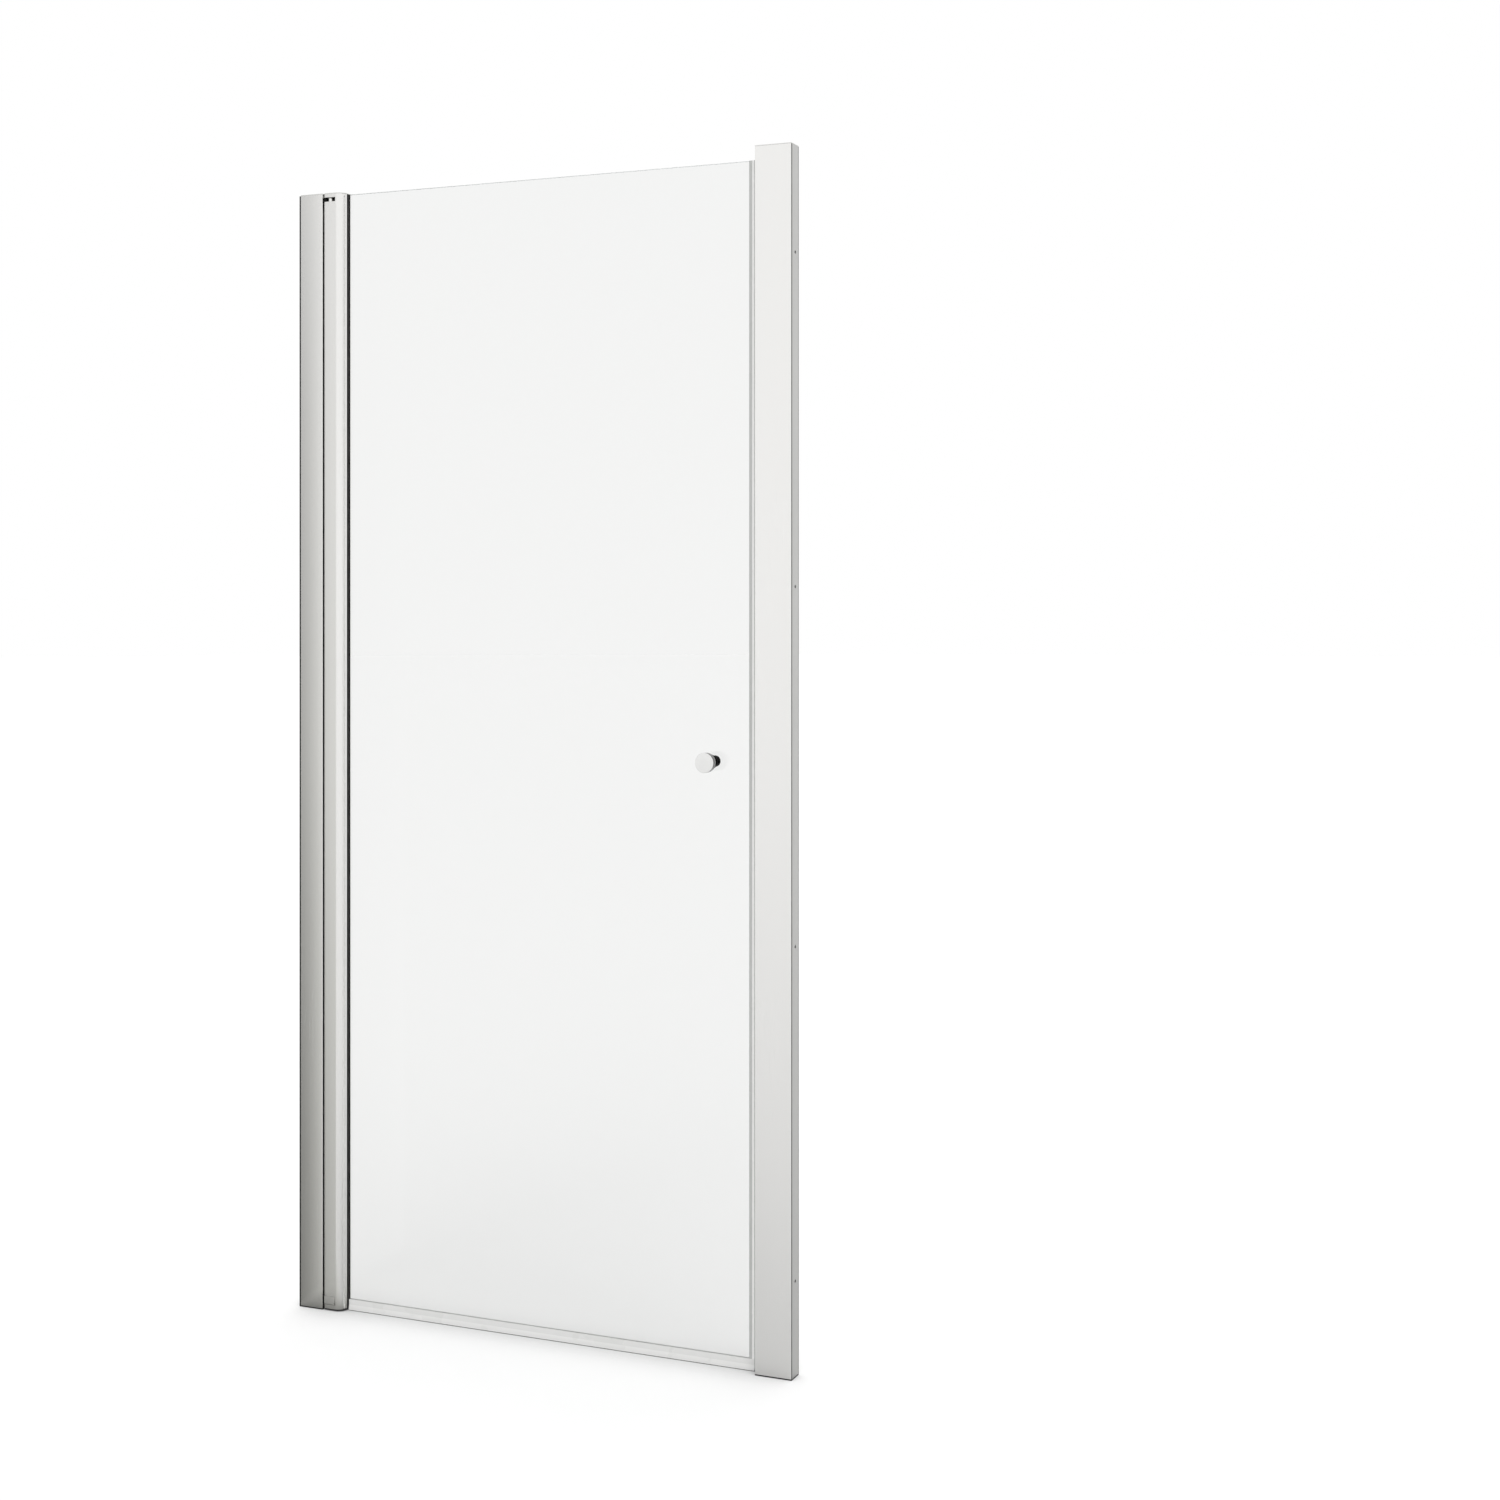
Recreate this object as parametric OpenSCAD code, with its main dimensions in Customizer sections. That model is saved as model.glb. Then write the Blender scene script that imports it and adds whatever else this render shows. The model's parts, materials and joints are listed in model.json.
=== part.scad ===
/* [Niche and overall sizes] */
// Width between the two walls of the niche
niche_w = 907; // [820:1:1000]
// Height of the hinge side, floor to the top of its caps
door_h = 1900; // [1800:5:2050]
// How far the strike side stands above the hinge side
strike_rise = 18; // [0:1:40]
// Gap between the floor and the swinging leaf
floor_gap = 2; // [1.5:0.1:3]

/* [Extrusions] */
// Wall thickness of the aluminium extrusions
wall_t = 1.8; // [1.5:0.1:2.1]
// Depth of both wall profiles, front to back
profile_d = 30; // [29:0.5:36]
// Gap between the niche wall and the edge of the hinge side's wall profile
wall_gap = 2.6; // [0.5:0.1:3]
// Gap between the niche wall and the edge of the strike profile
strike_wall_gap = 0.6; // [0.4:0.1:3]
// Radius on the small outer corners of the extrusions
edge_r = 0.8; // [0.4:0.1:1.2]

/* [Rubber feet] */
// Thickness of the rubber feet under both sides of the frame
foot_t = 2; // [1:0.1:2.4]

/* [Wall channels] */
// Thickness of a channel's base and legs
channel_t = 2; // [1.5:0.1:2.5]
// How far a channel's legs reach from the wall
channel_reach = 24; // [18:0.5:25]
// Clearance between a channel's leg and the profile that slides over it
slide_gap = 0.3; // [0.1:0.05:0.6]
// Radius of the fixing holes in a channel's base
fixing_r = 2.6; // [2:0.1:3.5]
// Distance between the outer pair of fixing holes
fixing_outer = 1600; // [1300:10:1640]
// Distance between the inner pair of fixing holes
fixing_inner = 560; // [300:10:800]
// Height of the middle of the row of fixing holes
fixing_mid = 950; // [920:5:960]
// Distance from the middle to the outer screws that fix the width
adjust_span = 750; // [600:10:780]

/* [Hinge side wall profile] */
// Visible width of the hinge side wall profile
wall_profile_w = 46.6; // [45:0.2:60]
// Outer width of its closed box
wall_box_w = 19.6; // [18:0.2:20]

/* [Hinge profile] */
// Gap between the wall profile and the hinge profile
swing_gap = 2; // [2:0.1:3]
// Width of the hinge profile, left edge to the end of its nose
hinge_w = 38.2; // [37:0.2:44]
// Inner width of its hinge chamber
chamber_w = 21.6; // [21:0.2:22.2]
// Radius of its front corner beside the wall profile
corner_r = 4; // [3.6:0.1:6]
// Depth of the glass behind the front face
glass_y = 17; // [16:0.5:20]

/* [Pivot] */
// Distance of the pin from the hinge profile's left edge
pin_in = 9.7; // [9.4:0.1:10]
// Depth of the pin behind the front face
pin_y = 8; // [7.8:0.1:8.4]
// Radius of the pins
pin_r = 4; // [3.5:0.1:4.4]
// Radius of the upper pin's visible shoulder
shoulder_r = 4.75; // [4.6:0.05:5.2]
// Running clearance between pin and bush, on the radius
run_gap = 0.04; // [0.02:0.01:0.09]
// Clearance between a pin and the arm that holds it, on the radius
press_gap = 0.02; // [0.01:0.01:0.05]
// Outer radius of the bushes
bush_r = 5; // [4.8:0.1:5.2]
// Length of the bushes
bush_h = 18; // [12:0.5:22]
// Radius of the bushes' flanges
flange_r = 5.6; // [5.4:0.1:5.7]
// Thickness of the bushes' flanges
flange_t = 1.2; // [0.8:0.1:2]
// Radius of the washer that carries the leaf
washer_r = 7; // [6:0.1:7.4]
// How far each pin reaches into the leaf
pin_reach = 23; // [19:0.5:30]
// Distance of the upper slot below the top
top_slot_off = 7.4; // [6.4:0.1:9]
// Height of the upper slot
top_slot_h = 7.2; // [6:0.1:9]
// Height of the lower slot's bottom above the floor
low_slot_off = 10.2; // [8.5:0.1:12]
// Height of the lower slot
low_slot_h = 14.4; // [12:0.1:17]
// Clearance above and below an arm in its slot
slot_gap = 0.5; // [0.4:0.05:0.8]
// Height of the arms' feet inside the wall profile
foot_h = 40; // [34:1:60]
// Height of the hinge blocks inside the leaf
hinge_block_h = 46; // [40:1:70]

/* [Glass] */
// Thickness of the glass
glass_t = 6; // [5:0.5:8]
// Height of the lower edge of the glass above the floor
glass_z = 10; // [9:0.1:12]
// Bevel on the edges of the glass
glass_bevel = 0.6; // [0.3:0.1:1]
// Thickness of the glazing gaskets
gasket_t = 3; // [2.5:0.1:3.5]
// How far the front gasket shows beside the nose
bead_w = 2.6; // [2:0.1:4]
// Thickness of the setting blocks behind the glass edge
setting_t = 2; // [1.5:0.1:2.5]
// Length of each setting block
setting_h = 60; // [40:5:100]
// Distance of the outer setting blocks from the ends of the glass
setting_off = 100; // [50:5:300]

/* [Strike profile] */
// Visible width of the strike profile
strike_w = 62; // [56:0.5:75]
// Outer width of its wall side fins, from the wall to its box
strike_fin_w = 27; // [26.5:0.5:30]
// Depth of the pocket for the strike seal
strike_pocket = 5.2; // [4.5:0.1:7]
// How far the strike seal stands out of its profile
seal_proud = 3.1; // [2.5:0.1:4]
// Gap between the two magnetic seals when the leaf is shut
magnet_gap = 0.6; // [0.5:0.05:0.9]

/* [Seals] */
// Thickness of the walls of the clear seals
seal_t = 1.2; // [0.9:0.1:1.4]
// Width of the magnet chamber on the leaf's seal
seal_chamber_w = 6.1; // [5.5:0.1:8]
// Length of the seal legs on the faces of the glass
seal_leg = 5.2; // [4:0.1:8]
// Height of the bottom seal's legs on the glass
drip_leg = 8.7; // [6:0.1:14]
// Gap between the bottom seal's lips and the floor
lip_gap = 1; // [0.6:0.1:1.8]
// How far the bottom seal stops short of the leaf's free end
drip_end = 3.5; // [2.6:0.1:6]
// Width of the face of the magnets
magnet_w = 9; // [7:0.5:9.5]

/* [Knob] */
// Distance of the knob from the free edge of the glass
knob_in = 71.2; // [50:0.1:110]
// Height of the knob above the floor
knob_z = 953; // [850:1:1100]
// Diameter of the front disc
knob_d = 31.6; // [28:0.2:40]
// Thickness of the front disc
knob_disc_t = 10; // [8:0.5:14]
// Length of the front knob
knob_len = 26; // [24:0.5:36]
// Diameter of the front knob's foot
knob_foot_d = 23.6; // [21:0.2:26]
// Diameter of the rear knob
knob_rear_d = 18; // [17:0.5:24]
// Length of the rear knob
knob_rear_len = 13; // [10:0.5:20]
// Radius of the stud that joins the knobs
stud_r = 3; // [2.5:0.1:3.5]
// Radius of the hole in the glass
hole_r = 6; // [5:0.1:7]
// Thickness of the washers between knobs and glass
knob_washer_t = 1; // [0.6:0.1:1.5]

/* [End caps and screws] */
// Thickness of the end caps' plates
cap_t = 1.6; // [1.2:0.1:2]
// Clearance round pieces that slip into each other
slack = 0.2; // [0.1:0.05:0.3]
// Radius of the screws' shanks
screw_r = 2; // [1.6:0.1:2.2]
// Radius of the screws' heads
head_r = 3.8; // [3.2:0.1:4.2]
// Height of the screws' heads
head_h = 2.2; // [1.6:0.1:2.6]

/* [Hidden] */
$fn = 64;

// Widths run from the left wall, depths from the front face, heights from the floor
wall_x1 = wall_profile_w;
wall_box_x = wall_x1 - wall_box_w;
hinge_x = wall_x1 + swing_gap;
hinge_x1 = hinge_x + hinge_w;
strike_x = niche_w - strike_w;
strike_x1 = niche_w - strike_wall_gap;
strike_box_x1 = niche_w - strike_fin_w;
pin_x = hinge_x + pin_in;
pin_in_chamber = wall_t + chamber_w - pin_in;

// Heights of the extrusions and of the leaf
hinge_top = door_h - cap_t;
strike_top = door_h + strike_rise - cap_t;
leaf_z = floor_gap + cap_t;
glass_top = hinge_top - 2 * slack;

// Slots that let the leaf pass the fixed arms
top_slot_z1 = door_h - top_slot_off;
top_slot_z = top_slot_z1 - top_slot_h;
low_slot_z = low_slot_off;
low_slot_z1 = low_slot_z + low_slot_h;
top_arm_z = top_slot_z + slot_gap;
top_arm_z1 = top_slot_z1 - slot_gap;
low_arm_z = low_slot_z + slot_gap;
low_arm_z1 = low_slot_z1 - slot_gap;
plug_h = top_slot_off - cap_t - slack;
low_plug_h = low_slot_off - leaf_z - slack;

// Arms: an eye round the pin, just behind the front face
eye_inset = 0.4;
eye_r = pin_y - eye_inset;
foot_x = wall_box_x + wall_t + slack;
foot_x1 = wall_x1 - wall_t - slack;
arm_screw_x = (foot_x + foot_x1) / 2;
arm_cover_r = pin_in_chamber - slot_gap;
top_foot_z = top_arm_z1 - foot_h;
low_foot_z = foot_t + slack;

// Hinge profile: nose, chamber, web and glazing pocket
nose_r = glass_y - gasket_t;
nose_x = hinge_x1 - nose_r;
hinge_d = glass_y + glass_t + gasket_t + wall_t;
chamber_x = hinge_x + wall_t;
chamber_x1 = chamber_x + chamber_w;
web_x1 = chamber_x1 + wall_t;
glass_x = web_x1 + setting_t;
glass_y1 = glass_y + glass_t;
glass_mid_y = glass_y + glass_t / 2;
block_gap = 0.15;
block_screw_x = (chamber_x + chamber_x1) / 2;
block_screw_tip = pin_y + bush_r + 1.5;

// Magnetic seals and the free edge of the glass
strike_seal_x = strike_x - seal_proud;
door_seal_x1 = strike_seal_x - magnet_gap;
door_chamber_x = door_seal_x1 - seal_chamber_w;
glass_x1 = door_chamber_x - seal_t;
seal_wall = 0.8;
seal_depth = glass_t + 2 * (gasket_t - 0.2);
seal_y = glass_mid_y - seal_depth / 2;
seal_y1 = seal_y + seal_depth;
magnet_y = glass_mid_y - magnet_w / 2;
magnet_y1 = magnet_y + magnet_w;

// Strike profile: pocket with two lips for the foot of the strike seal
pocket_x1 = strike_x + strike_pocket;
pocket_y = glass_y - gasket_t;
pocket_y1 = profile_d - wall_t;
pocket_lip = 1.2;
pocket_mouth_x = strike_x + wall_t;
pocket_mouth_y = pocket_y + pocket_lip;
pocket_mouth_y1 = 2 * glass_mid_y - pocket_mouth_y;

// Bottom seal
drip_x = hinge_x1 + bead_w + slack;
drip_x1 = door_seal_x1 - drip_end;
drip_web_z1 = glass_z - slack;
drip_web_z = drip_web_z1 - seal_t;
drip_top = glass_z + drip_leg;
seal_foot_z = floor_gap + 1;

// Knob: its origin is on the stud's axis
knob_x = glass_x1 - knob_in;
knob_seat_y = glass_y - knob_washer_t;
knob_rear_y = glass_y1 + knob_washer_t;
knob_foot_t = 3;
knob_bevel = 0.8;
stud_reach = 11;
stud_rear_reach = 8;
stud_gap = 0.05;

// Rows of screws
channel_leg_y = wall_t + slide_gap;
channel_leg_y1 = profile_d - wall_t - slide_gap;
adjust_x = channel_reach / 2 + 1;
adjust_tip_y = channel_leg_y1 - channel_t - 2;
adjust_zs = [fixing_mid - adjust_span, fixing_mid, fixing_mid + adjust_span];
fixing_zs = [
    fixing_mid - fixing_outer / 2, fixing_mid - fixing_inner / 2,
    fixing_mid + fixing_inner / 2, fixing_mid + fixing_outer / 2
];
screw_pitch = 22;
block_screw_off = 10;
thread_gap = 0.05;
arm_screw_zs = concat(screw_pair(top_foot_z + foot_h / 2), screw_pair(low_foot_z + foot_h / 2));
block_screw_zs = concat(
    screw_pair(top_slot_z - hinge_block_h + block_screw_off + screw_pitch / 2),
    screw_pair(low_slot_z1 + hinge_block_h - block_screw_off - screw_pitch / 2)
);

// Lip seal in the hinge gap
gap_seal_t = 0.8;
gap_seal_y = pin_y + 10;
gap_seal_w = 8;
gap_seal_play = 0.3;

// The origin is on the floor, in the middle of the width and of the depth
front_y = min(0, knob_seat_y - knob_len);
rear_y = max(profile_d + head_h, knob_rear_y + knob_rear_len);
mid_y = (front_y + rear_y) / 2;

function screw_pair(z) = [z - screw_pitch / 2, z + screw_pitch / 2];

module placed() {
    translate([-niche_w / 2, -mid_y, 0]) children();
}

module rect(x0, x1, y0, y1) {
    translate([x0, y0]) square([x1 - x0, y1 - y0]);
}

// A rectangle with four round corners
module soft_rect(x0, x1, y0, y1, r) {
    rect(x0 + r, x1 - r, y0, y1);
    rect(x0, x1, y0 + r, y1 - r);
    for (x = [x0 + r, x1 - r], y = [y0 + r, y1 - r]) translate([x, y]) circle(r);
}

// A plan drawn in width and depth, raised from one height to another
module upright(z0, z1) {
    translate([0, 0, z0]) linear_extrude(z1 - z0) children();
}

// A section drawn in depth and height, run along the width
module crosswise(x0, x1) {
    translate([x0, 0, 0]) rotate([90, 0, 90]) linear_extrude(x1 - x0) children();
}

module box(x0, x1, y0, y1, z0, z1) {
    translate([x0, y0, z0]) cube([x1 - x0, y1 - y0, z1 - z0]);
}

// A round bar or hole that runs front to back
module depth_bar(x, z, y0, y1, r) {
    translate([x, y0, z]) rotate([-90, 0, 0]) cylinder(h = y1 - y0, r = r);
}

// A round bar or hole that stands upright
module upright_bar(x, y, z0, z1, r) {
    translate([x, y, z0]) cylinder(h = z1 - z0, r = r);
}

// A pan head screw put in from behind, its head seated at depth seat_y
module rear_screw(x, z, seat_y, tip_y) {
    depth_bar(x, z, tip_y, seat_y, screw_r);
    difference() {
        intersection() {
            depth_bar(x, z, seat_y, seat_y + head_h, head_r);
            translate([x, seat_y + head_h - 2 * head_r, z]) sphere(2 * head_r);
        }
        translate([x, seat_y + head_h / 2, z]) rotate([-90, 0, 0])
            cylinder(h = head_h, r = screw_r * 0.75, $fn = 6);
    }
}

// Clearance hole through a rear wall whose back is at depth back_y
module rear_hole(x, z, back_y) {
    depth_bar(x, z, back_y - wall_t - 1, back_y + 1, screw_r + slack);
}

// Wall channel seen from above, with its back at the left wall
module channel_plan() {
    rect(0, channel_t, channel_leg_y, channel_leg_y1);
    rect(0, channel_reach, channel_leg_y, channel_leg_y + channel_t);
    rect(0, channel_reach, channel_leg_y1 - channel_t, channel_leg_y1);
}

module wall_channel(top) {
    difference() {
        upright(foot_t, top) channel_plan();
        for (z = fixing_zs) translate([-1, profile_d / 2, z]) rotate([0, 90, 0])
            cylinder(h = channel_t + 2, r = fixing_r);
        for (z = adjust_zs)
            depth_bar(adjust_x, z, channel_leg_y1 - channel_t - 1, channel_leg_y1 + 1, screw_r + thread_gap);
    }
}

module wall_channel_left() {
    color("silver") placed() wall_channel(hinge_top);
}

module wall_channel_right() {
    color("silver") placed() translate([niche_w, 0, 0]) mirror([1, 0, 0]) wall_channel(strike_top);
}

module wall_profile_plan() {
    difference() {
        soft_rect(wall_gap, wall_x1, 0, profile_d, edge_r);
        rect(0, wall_box_x, wall_t, profile_d - wall_t);
        rect(wall_box_x + wall_t, wall_x1 - wall_t, wall_t, profile_d - wall_t);
    }
}

module wall_profile_left() {
    color("gainsboro") placed() difference() {
        upright(foot_t, hinge_top) wall_profile_plan();
        arm_passage(top_slot_z, hinge_top + 1);
        arm_passage(-1, low_slot_z1);
        for (z = adjust_zs) rear_hole(adjust_x, z, profile_d);
        for (z = arm_screw_zs) rear_hole(arm_screw_x, z, profile_d);
    }
}

// Cut in the side of the wall profile for the neck of an arm
module arm_passage(z0, z1) {
    box(wall_x1 - wall_t - 1, wall_x1 + 1, wall_t, pin_y + eye_r + slack, z0, z1);
}

module adjust_screw_row(x) {
    for (z = adjust_zs) rear_screw(x, z, profile_d, adjust_tip_y);
}

module adjust_screws_left() {
    color("lightgray") placed() adjust_screw_row(adjust_x);
}

module adjust_screws_right() {
    color("lightgray") placed() adjust_screw_row(niche_w - adjust_x);
}

// Soft strips that close the gap between a wall profile's edges and the wall
module wall_seal(gap, top) {
    upright(foot_t, top) for (y = [edge_r / 2, profile_d - wall_t])
        rect(0, gap, y, y + wall_t - edge_r / 2);
}

module wall_seal_left() {
    color([0.15, 0.15, 0.15]) placed() wall_seal(wall_gap, hinge_top);
}

module wall_seal_right() {
    color([0.15, 0.15, 0.15]) placed() translate([niche_w, 0, 0]) mirror([1, 0, 0])
        wall_seal(strike_wall_gap, strike_top);
}

// Rubber foot under a wall profile and its channel
module foot_pad(x0, x1) {
    color([0.1, 0.1, 0.1]) placed() upright(0, foot_t) soft_rect(x0, x1, 0, profile_d, edge_r);
}

module foot_pad_left() {
    foot_pad(0, wall_x1);
}

module foot_pad_right() {
    foot_pad(strike_x, niche_w);
}

// Plate over the end of a wall profile, with a plug in its box
module wall_cap(x0, x1, plug_x0, plug_x1, seat) {
    upright(seat, seat + cap_t) soft_rect(x0, x1, 0, profile_d, edge_r);
    box(plug_x0 + slack, plug_x1 - slack, wall_t + slack, profile_d - wall_t - slack, seat - plug_h, seat);
}

module top_cap_left() {
    color("silver") placed() wall_cap(wall_gap, wall_x1, wall_box_x + wall_t, wall_x1 - wall_t, hinge_top);
}

module top_cap_right() {
    color("silver") placed()
        wall_cap(strike_x, strike_x1, pocket_x1 + wall_t, strike_box_x1 - wall_t, strike_top);
}

// Arm seen from above: a neck through the wall profile and an eye round the pin
module arm_plan() {
    translate([pin_x, pin_y]) circle(eye_r);
    rect(hinge_x + slack, pin_x, pin_y - eye_r, pin_y + eye_r);
    rect(foot_x1 - 1, hinge_x + slack, wall_t + slack, pin_y + eye_r);
}

module arm_foot(z0) {
    difference() {
        box(foot_x, foot_x1, wall_t + slack, profile_d - wall_t - slack, z0, z0 + foot_h);
        for (side = [-1, 1]) depth_bar(arm_screw_x, z0 + foot_h / 2 + side * screw_pitch / 2,
            profile_d / 2 - 1, profile_d, screw_r + thread_gap);
    }
}

// The upper eye is open at the front, so the pin's shoulder shows
module hinge_arm_top() {
    color([0.06, 0.06, 0.06]) placed() difference() {
        union() {
            upright(top_arm_z, top_arm_z1) arm_plan();
            arm_foot(top_foot_z);
        }
        upright_bar(pin_x, pin_y, top_arm_z - 1, top_arm_z1 + 1, shoulder_r + press_gap);
        box(pin_x - shoulder_r * 0.9, pin_x + eye_r + 1, -1, pin_y, top_arm_z - 1, top_arm_z1 + 1);
    }
}

// The lower arm also fills its slot beside the eye, as far as the leaf's web lets it
module arm_cover_plan() {
    intersection() {
        translate([pin_x, pin_y]) circle(arm_cover_r);
        rect(pin_x, pin_x + arm_cover_r, pin_y - eye_r, pin_y);
    }
}

module hinge_arm_bottom() {
    color("lightgray") placed() difference() {
        union() {
            upright(low_arm_z, low_arm_z1) {
                arm_plan();
                arm_cover_plan();
            }
            arm_foot(low_foot_z);
        }
        upright_bar(pin_x, pin_y, low_arm_z - 1, low_arm_z1 + 1, pin_r + press_gap);
    }
}

module hinge_pin_top() {
    color("silver") placed() {
        upright_bar(pin_x, pin_y, top_arm_z, top_arm_z1, shoulder_r);
        upright_bar(pin_x, pin_y, top_slot_z - pin_reach, top_arm_z, pin_r);
    }
}

module hinge_pin_bottom() {
    color("silver") placed() upright_bar(pin_x, pin_y, low_arm_z + slack, low_slot_z1 + pin_reach, pin_r);
}

module arm_screws() {
    color("lightgray") placed() for (z = arm_screw_zs)
        rear_screw(arm_screw_x, z, profile_d, profile_d / 2 + 1);
}

// Soft lip in the gap between wall profile and hinge profile
module hinge_gap_seal() {
    base_x = wall_x1 + gap_seal_t;
    tip_x = hinge_x - gap_seal_play;
    root_y = gap_seal_y + gap_seal_w / 4;
    root_y1 = gap_seal_y + gap_seal_w * 0.65;
    color([0.08, 0.08, 0.08]) placed() upright(low_slot_z1 + slack, top_slot_z - slack) {
        rect(wall_x1, base_x, gap_seal_y, gap_seal_y + gap_seal_w);
        polygon([[base_x, root_y], [tip_x, root_y + 1.2], [tip_x, root_y1 - 0.8], [base_x, root_y1]]);
    }
}

module strike_plan() {
    difference() {
        soft_rect(strike_x, strike_x1, 0, profile_d, edge_r);
        rect(strike_x + wall_t, pocket_x1 + wall_t, wall_t, pocket_y - wall_t);
        rect(pocket_x1 + wall_t, strike_box_x1 - wall_t, wall_t, profile_d - wall_t);
        rect(strike_box_x1, niche_w, wall_t, profile_d - wall_t);
        rect(strike_x - 1, pocket_mouth_x, pocket_y, profile_d + 1);
        rect(pocket_mouth_x - 1, pocket_mouth_x + pocket_lip, pocket_mouth_y, pocket_mouth_y1);
        rect(pocket_mouth_x + pocket_lip, pocket_x1, pocket_y, pocket_y1);
    }
}

module strike_profile() {
    color("gainsboro") placed() difference() {
        upright(foot_t, strike_top) strike_plan();
        for (z = adjust_zs) rear_hole(niche_w - adjust_x, z, profile_d);
    }
}

// Magnet chamber of a seal: a closed tube that wraps the magnet bar
module chamber_plan(x0, x1) {
    difference() {
        soft_rect(x0, x1, seal_y, seal_y1, seal_wall);
        rect(x0 + seal_wall, x1 - seal_wall, magnet_y, magnet_y1);
    }
}

module strike_seal() {
    color([0.9, 0.92, 0.92]) placed() upright(seal_foot_z, glass_top) {
        chamber_plan(strike_seal_x, pocket_mouth_x);
        rect(pocket_mouth_x - 0.1, pocket_x1, pocket_mouth_y + slack, pocket_mouth_y1 - slack);
        rect(pocket_mouth_x + pocket_lip + slack, pocket_x1, pocket_y + slack, pocket_y1 - slack);
    }
}

module strike_magnet() {
    color([0.2, 0.2, 0.2]) placed() box(strike_seal_x + seal_wall, pocket_mouth_x - seal_wall,
        magnet_y, magnet_y1, seal_foot_z, glass_top);
}

module hinge_outline() {
    rect(hinge_x + corner_r, hinge_x1, 0, hinge_d - edge_r);
    rect(hinge_x, hinge_x1, corner_r, hinge_d - edge_r);
    rect(hinge_x + edge_r, hinge_x1, hinge_d - 2 * edge_r, hinge_d);
    translate([hinge_x + corner_r, corner_r]) circle(corner_r);
    translate([hinge_x + edge_r, hinge_d - edge_r]) circle(edge_r);
}

// The nose is a quarter round that falls back to the glazing gasket
module hinge_body_plan() {
    difference() {
        hinge_outline();
        difference() {
            rect(nose_x, hinge_x1 + 1, -1, nose_r);
            translate([nose_x, nose_r]) circle(nose_r);
        }
    }
}

// Chamber for the hinge blocks; inset leaves room round what slips into it
module chamber_outline(inset) {
    r = corner_r - wall_t - inset;
    x0 = chamber_x + inset;
    x1 = chamber_x1 - inset;
    y0 = wall_t + inset;
    y1 = hinge_d - wall_t - inset;
    rect(x0 + r, x1, y0, y1);
    rect(x0, x1, y0 + r, y1);
    translate([x0 + r, y0 + r]) circle(r);
}

module nose_hollow(inset) {
    intersection() {
        translate([nose_x, nose_r]) circle(nose_r - wall_t - inset);
        rect(web_x1 + inset, hinge_x1, 0, nose_r - wall_t - inset);
    }
}

module hinge_plan() {
    difference() {
        hinge_body_plan();
        chamber_outline(0);
        nose_hollow(0);
        rect(web_x1, hinge_x1 + 1, nose_r, hinge_d - wall_t);
    }
}

// Window in the front and the side of the hinge profile for a fixed arm
module arm_window(z0, z1) {
    box(hinge_x - 1, chamber_x1, -1, wall_t, z0, z1);
    box(hinge_x - 1, chamber_x + corner_r, -1, pin_y + eye_r + 1, z0, z1);
}

module hinge_profile() {
    color("gainsboro") placed() difference() {
        upright(leaf_z, hinge_top) hinge_plan();
        arm_window(top_slot_z, top_slot_z1);
        arm_window(low_slot_z, low_slot_z1);
        for (z = block_screw_zs) rear_hole(block_screw_x, z, hinge_d);
    }
}

module hinge_block(z0) {
    difference() {
        upright(z0, z0 + hinge_block_h) chamber_outline(block_gap);
        upright_bar(pin_x, pin_y, z0 - 1, z0 + hinge_block_h + 1, bush_r + press_gap);
        for (z = block_screw_zs)
            depth_bar(block_screw_x, z, block_screw_tip - 1, hinge_d, screw_r + thread_gap);
    }
}

module hinge_block_top() {
    color([0.15, 0.15, 0.15]) placed() difference() {
        hinge_block(top_slot_z - hinge_block_h);
        upright_bar(pin_x, pin_y, top_slot_z - flange_t, top_slot_z + 1, flange_r + press_gap);
    }
}

module hinge_block_bottom() {
    color([0.15, 0.15, 0.15]) placed() difference() {
        hinge_block(low_slot_z1);
        upright_bar(pin_x, pin_y, low_slot_z1 - 1, low_slot_z1 + flange_t, flange_r + press_gap);
    }
}

module bush_top() {
    color("white") placed() difference() {
        union() {
            upright_bar(pin_x, pin_y, top_slot_z - bush_h, top_slot_z, bush_r);
            upright_bar(pin_x, pin_y, top_slot_z - flange_t, top_slot_z, flange_r);
        }
        upright_bar(pin_x, pin_y, top_slot_z - bush_h - 1, top_slot_z + 1, pin_r + run_gap);
    }
}

module bush_bottom() {
    color("white") placed() difference() {
        union() {
            upright_bar(pin_x, pin_y, low_slot_z1, low_slot_z1 + bush_h, bush_r);
            upright_bar(pin_x, pin_y, low_slot_z1, low_slot_z1 + flange_t, flange_r);
        }
        upright_bar(pin_x, pin_y, low_slot_z1 - 1, low_slot_z1 + bush_h + 1, pin_r + run_gap);
    }
}

// Carries the leaf on the lower arm
module thrust_washer() {
    color("ivory") placed() difference() {
        upright_bar(pin_x, pin_y, low_arm_z1 + run_gap, low_slot_z1, washer_r);
        upright_bar(pin_x, pin_y, low_arm_z1 - 1, low_slot_z1 + 1, pin_r + slack);
    }
}

module block_screws() {
    color("lightgray") placed() for (z = block_screw_zs)
        rear_screw(block_screw_x, z, hinge_d, block_screw_tip);
}

module hinge_cap_top() {
    color("silver") placed() {
        upright(hinge_top, hinge_top + cap_t) hinge_body_plan();
        upright(hinge_top - plug_h, hinge_top) {
            chamber_outline(slack);
            nose_hollow(slack);
        }
    }
}

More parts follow.
